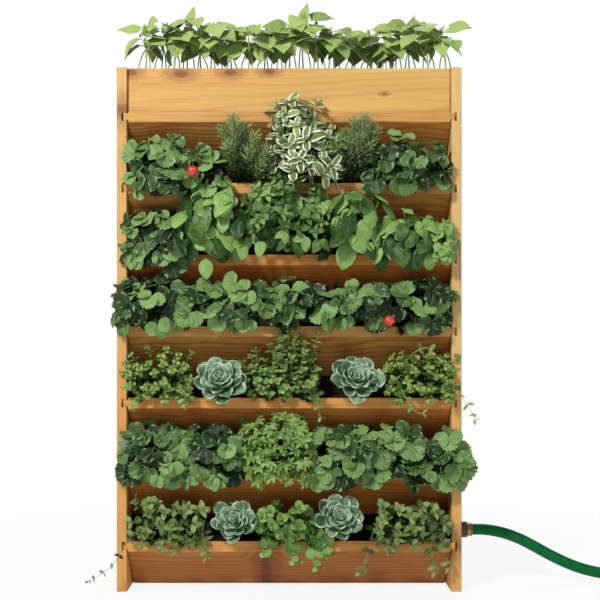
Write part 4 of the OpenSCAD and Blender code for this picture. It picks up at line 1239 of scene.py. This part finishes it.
def rosette(g, tier, share, r, rise, count=44):
    """An echeveria: thick leaves in one spiral, steeper and shorter towards its heart."""
    rng = g.rng
    crown = crown_at(tier, share)
    heart = np.array([crown[0], FRONT_Y - 0.36 * r, rim_z(tier) + rise * r])
    axis = unit((0.09 * math.copysign(1, share), -math.sin(math.radians(60)),
                 math.cos(math.radians(60))))
    g.stem(bezier(crown, heart + (0, 0.02, -0.03), heart - 0.006 * axis, 6),
           np.linspace(0.007, 0.005, 6), count=8)
    a = across(np.array([1.0, 0.0, 0.0]), axis)
    for k in range(count):
        part = (k + 0.5) / count
        radial = turned(a, axis, ROSETTE_TURN * k + rng.uniform(-5, 5))
        lift = math.radians(4 + 78 * part ** 1.2 + rng.uniform(-4, 4))
        f = math.cos(lift) * radial + math.sin(lift) * axis
        length = r * (1.16 - 0.86 * part) * rng.uniform(0.9, 1.06)
        root = heart + axis * (0.3 * r * part - 0.1 * r) + radial * 0.05 * r * (1 - part)
        g.leaf(FLESHY, root, f, math.cos(lift) * axis - math.sin(lift) * radial, length,
               width=(0.64 + 0.34 * part) * rng.uniform(0.9, 1.1), fold=0.05,
               cup=rng.uniform(0.9, 1.6), droop=rng.uniform(-0.75, -0.3), wave=0.055,
               tint=0.9 * part + rng.uniform(-0.15, 0.35))


def berry(g, tier, share, out, rise):
    """A ripe strawberry on its stalk, with its calyx."""
    top = np.array([at_x(share), FRONT_Y - out, rim_z(tier) + rise])
    g.stem(bezier(crown_at(tier, share, 0), top + (0, 0.015, 0.03), top, 9), 0.0011)
    drops = np.array([0, .001, .003, .006, .0095, .013, .0162, .019, .0212, .0226, .0231])
    radii = [.0034, .007, .0098, .0118, .0126, .0122, .0106, .0082, .0056, .003, .0008]
    path = top + np.array([0, -0.08, -1]) * drops[:, None]
    g.stem(path, radii, 2, count=16)
    whorl(g, SEPAL, top + (0, 0, 0.0006), np.array([0.0, 0.0, 1.0]), 9, 0.013, -18, 8,
          droop=0.3)


def bean(g, share, tall, turn):
    """A seedling: a thin stem, heart-shaped leaves near its top and a pair of young ones."""
    rng = g.rng
    base = np.array([at_x(share), rng.uniform(-0.05, 0.03), SOIL_TOP - 0.003])
    yaw = math.radians(turn)
    top = base + (0.012 * math.sin(yaw), 0.008 * math.cos(yaw), tall)
    bow = (base + top) / 2 + 0.009 * np.array([math.cos(yaw), math.sin(yaw), 0])
    path = bezier(base, bow, top, 12)
    g.stem(path, np.linspace(0.0019, 0.0012, 12), count=6)
    for side in (-1, 1):
        foot = base + (0.012 * side, 0.014, 0)
        g.stem(bezier(foot, foot + (0.006 * side, 0, 0.5 * tall), path[8], 8), 0.0014)
    for level, count, size, start in ((0.74, 2, 0.048, turn), (0.9, 3, 0.056, turn + 70),
                                      (1.0, 3, 0.056, turn + 20)):
        p = path[int(level * 11)]
        hang = 0.4 if level < 1 else 0.0
        for k in range(count):
            az = math.radians(start + k * 360 / count + rng.uniform(-18, 18))
            radial = np.array([math.cos(az), math.sin(az), 0])
            reach = 0.018 * rng.uniform(0.6, 1.2)
            end = p + reach * radial + (0, 0, reach * rng.uniform(0.2, 0.8))
            bend = p + 0.5 * reach * radial + (0, 0, 0.75 * reach)
            g.stem(bezier(p, bend, end, 5), 0.0009, count=4)
            f = unit(radial + (0, -0.1, rng.uniform(-0.6, 0.3) - hang))
            up = unit(np.array([0, -0.75, 0.8]) + 0.25 * radial + rng.normal(0, 0.2, 3))
            g.leaf(HEART, end, f, up, size * rng.uniform(0.8, 1.1),
                   width=rng.uniform(0.9, 1.1), fold=rng.uniform(0.08, 0.4),
                   droop=rng.uniform(0.1, 0.9), wave=0.02, cup=-0.2,
                   tint=rng.uniform(0.4, 1.4))
    if tall > 0.13:
        g.leaf(HEART, path[-1], (0.3, -0.1, 1), (-0.4, -1, 0.2), 0.044, width=0.68, fold=0.4,
               droop=-0.2, tint=0.9)
    for _ in range(2):
        f = unit((rng.normal(0, 0.4), rng.normal(0, 0.35), 1))
        g.leaf(HEART, path[-1], f, (rng.normal(), rng.normal(), 0.1), 0.024, width=0.6,
               fold=0.7, tint=1.0)


def bean_row(g, low, high, spike, rise, count=7):
    """Seedlings from low to high, one of which stands out by rise."""
    for k in range(count):
        tall = 0.117 + 0.011 * (k % 2) + (rise if k == spike else 0)
        bean(g, low + (high - low) * (k + 0.5) / count, tall, 47 * k + 20)


def low_leaf(g, tier, share):
    """One leaf that hangs over a board's front."""
    g.leaf(BASIL, (at_x(share), FRONT_Y - 0.03, rim_z(tier) - 0.012), (0.08, -0.2, -1),
           (0.1, -1, 0.1), 0.046, fold=0.2, cup=-0.8, droop=0.2, tint=0.7)


def small_threes(g, bush, count):
    """Small round leaves in threes at a tier's end."""
    for p, out in bush.spots(count, 0.95):
        trifoliate(g, p, unit(out + (0, -0.5, 0.3)), across(np.array([0, -0.2, -1.0]), out),
                   0.02, 1.4, 66, ROUND, fold=0.3, wave=0.14)


# What all mint shoots share
MINTY = {"start": 0.25, "stalk": 0.001, "fold": 0.2, "droop": 0.5, "wave": 0.02}

# Each piece and its plants. A plant is the function that makes it and what that
# takes, with its named values at the end. A bush is its tier, its middle's share, half its
# width, its top, its reach and, where it isn't the usual one, its lowest point.
PLANTS = (
    ("strawberry_6_left", (strawberry, Bush(5, -.78, .068, .104, .062, -.036)),
     (strawberry, Bush(5, -.53, .058, .068, .048)), (berry, 5, -.578, .06, .0255)),
    ("strawberry_6_right", (strawberry, Bush(5, .64, .062, .104, .056)),
     (strawberry, Bush(5, .82, .052, .088, .052))),
    ("strawberry_5", (strawberry, Bush(4, -.82, .068, .1, .064, -.042))),
    ("strawberry_4_left", (strawberry, Bush(3, -.85, .075, .106, .066, -.014)),
     (strawberry, Bush(3, -.53, .062, .09, .052, 0))),
    ("strawberry_4_middle", (strawberry, Bush(3, -.2, .078, .098, .058, -.01)),
     (strawberry, Bush(3, .13, .076, .104, .06, -.004))),
    ("strawberry_4_right", (strawberry, Bush(3, .5, .072, .098, .058, -.004)),
     (strawberry, Bush(3, .8, .068, .106, .062, -.016)), (berry, 3, .6, .064, .02)),
    ("strawberry_2_left", (strawberry, Bush(1, -.82, .076, .104, .062, -.038)),
     (strawberry, Bush(1, -.48, .072, .098, .056, -.034))),
    ("strawberry_2_right", (strawberry, Bush(1, .34, .068, .098, .056, -.036)),
     (strawberry, Bush(1, .64, .07, .104, .06, -.038)),
     (strawberry, Bush(1, .89, .07, .09, .06, -.042))),
    ("rosemary_6_left", (rosemary, Bush(5, -.265, .046, .132, .05), -0.2)),
    ("rosemary_6_right", (rosemary, Bush(5, .37, .048, .136, .05), 0.5)),
    ("sage_6", (sage, Bush(5, .03, .062, .186, .058), 25),
     (sage, Bush(5, .14, .06, .135, .07), 20)),
    ("basil_5_left", (basil, Bush(4, -.46, .08, .164, .074, -.03), 34),
     (low_leaf, 4, -.51)),
    ("balm_5", (balm, Bush(4, -.1, .062, .18, .066, -.012), 62),
     (balm, Bush(4, .1, .062, .15, .056, -.012), 50)),
    ("basil_5_right", (basil, Bush(4, .42, .062, .164, .064, -.028), 25, 0.06),
     (basil, Bush(4, .74, .084, .104, .07, -.03), 30, 0.056),
     (small_threes, Bush(4, .93, .03, .074, .062, -.03), 12)),
    ("oregano_3_left",
     (shoots, Bush(2, -.79, .09, .112, .066, -.046), 56, SMALL, 0.0145, 7)),
    ("oregano_3_right",
     (shoots, Bush(2, .81, .1, .112, .068, -.04), 56, SMALL, 0.0155, 7, {"stalk": 0.001}),
     (runner, ((.27, -.1, .44), (.25, -.16, .5), (.29, -.185, .53), (.33, -.18, .49)),
      0.021, {"droop": 0.3}),
     (runner, ((.3, -.1, .44), (.35, -.17, .44), (.38, -.175, .405), (.394, -.17, .376)),
      0.021, {"droop": 0.3}),
     (runner, ((.25, -.1, .44), (.24, -.165, .44), (.262, -.18, .4), (.285, -.175, .39)),
      0.021, {"droop": 0.3})),
    ("thyme_3",
     (shoots, Bush(2, .03, .066, .156, .052), 44, SMALL, 0.0195, 8, {"upright": 1.0}),
     (shoots, Bush(2, -.14, .062, .112, .05), 26, SMALL, 0.0175, 7, {"upright": 0.8}),
     (runner, ((.05, -.1, .44), (.058, -.15, .432), (.064, -.165, .4), (.066, -.16, .38)),
      0.019, {"droop": 0.2})),
    ("parsley_2", (parsley, Bush(1, -.065, .084, .126, .062, -.05), 78, 0.023)),
    ("ivy_1",
     (shoots, Bush(0, -.01, .082, .084, .056), 30, ROUND, 0.021, 4,
      {"fold": 0.12, "droop": 0.3, "wave": 0.03}),
     (trails, -.01, (0.02, -0.016, 0.014), 22,
      ((-1.2, 0.05), (0.3, 0.066), (1.3, 0.08), (2.1, 0.05)), ROUND, 0.029, 4,
      {"fold": 0.1, "wave": 0.02})),
    ("mint_1_left",
     (shoots, Bush(0, -.73, .094, .096, .058, -.034), 36, MINT, 0.027, 4, MINTY),
     (trails, -.73, (0.026, -0.014, 0.016), 24, ((0.2, 0.05), (1.5, 0.062)), MINT, 0.024, 5,
      {"fold": 0.2}),
     (runner, ((-.31, -.1, .13), (-.345, -.15, .12), (-.37, -.165, .075),
               (-.405, -.16, .045), (-.432, -.15, .03)), 0.014)),
    ("mint_1_right",
     (shoots, Bush(0, .73, .094, .096, .058, -.034), 36, MINT, 0.027, 4, MINTY),
     (trails, .73, (0.026, -0.014, 0.016), 24,
      ((-1.9, 0.095), (-0.8, 0.05), (0.9, 0.095), (1.5, 0.085)), MINT, 0.024, 5,
      {"fold": 0.2})),
    ("echeverias_3", (rosette, 2, -.415, .06, .52), (rosette, 2, .4, .057, .62)),
    ("echeverias_1", (rosette, 0, -.335, .05, .8), (rosette, 0, .3, .053, .9)),
    ("beans_left", (bean_row, -.97, -.32, 3, .014)),
    ("beans_middle", (bean_row, -.32, .34, 4, .03)),
    ("beans_right", (bean_row, .34, 1.05, 4, .016)),
)
FIRST_SEED = 500


def plant_all():
    skins = {kind: foliage(name, *looks, **more)
             for kind, (name, _, _, *looks, more) in KINDS.items()}
    stalks = {name: stalk_skin(name, *greens) for name, greens in STALKS.items()}
    red = berry_skin()
    for k, (name, *plants) in enumerate(PLANTS):
        g = Growth(FIRST_SEED + k)
        for make, *values in plants:
            named = values.pop() if isinstance(values[-1], dict) else {}
            make(g, *values, **named)
        kind = name.split("_")[0]
        stalk, slot = KINDS[kind][1:3]
        g.build(name + "_leaves", [skins[kind], stalks[stalk], red], name, slot)


plant_all()


# Stage
def build_floor():
    t = Tree("studio_floor", Roughness=0.9, Base_Color=linear(242, 242, 241))
    glow = t.add("Emission", {0: (1, 1, 1, 1)})
    far = t.add("VectorMath", {0: t.place(), 1: (0.0, 0.1, 0.0)}, out=1, operation="DISTANCE")
    seen = t.rays("Is Camera Ray", "Is Glossy Ray", "Is Transmission Ray")
    share = t.times(seen, t.smooth(far, 0.5, 1.6, 0.87, 1.0))
    t.put(t.tree.nodes["Material Output"].inputs[0],
          t.add("MixShader", {0: share, 1: t.bsdf.outputs[0], 2: glow}))
    half, z = 9, -0.0005
    verts = [(-half, -half, z), (half, -half, z), (half, half, z), (-half, half, z)]
    floor = piece("floor", verts, [(0, 1, 2, 3)], t.material, smooth=False)
    floor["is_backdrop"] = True


def build_world():
    world = bpy.data.worlds.new("world")
    world.use_nodes = True
    scene.world = world
    t = Nodes(world.node_tree)
    back = t.tree.nodes["Background"]
    back.inputs[0].default_value = (0.94, 0.97, 1.0, 1)
    back.inputs[1].default_value = 0.32
    white = t.add("Background", {0: (1, 1, 1, 1), 1: 1.0})
    seen = t.rays("Is Camera Ray", "Is Transmission Ray")
    t.put(t.tree.nodes["World Output"].inputs[0],
          t.add("MixShader", {0: seen, 1: back.outputs[0], 2: white}))


def build_lamps():
    for name, spot, aim, size, power in (
            ("key", (-1.5, -2.6, 2.7), (0, -0.1, 0.6), 0.6, 106),
            ("fill", (2.4, -2.4, 1.2), (0, -0.1, 0.5), 1.8, 12),
            ("back", (0.8, 2.6, 2.4), (0, 0, 0.7), 1.6, 34)):
        light = bpy.data.lights.new(name, "AREA")
        light.shape = "DISK"
        light.size = size
        light.energy = power
        lamp = shown(name, light)
        lamp.location = spot
        lamp.rotation_euler = (Vector(aim) - Vector(spot)).to_track_quat("-Z", "Y").to_euler()


build_floor()
build_world()
build_lamps()
scene.view_settings.view_transform = "Standard"

boxes = [[[float(v) for v in corner] for corner in box] for box in (cad_box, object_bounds())]
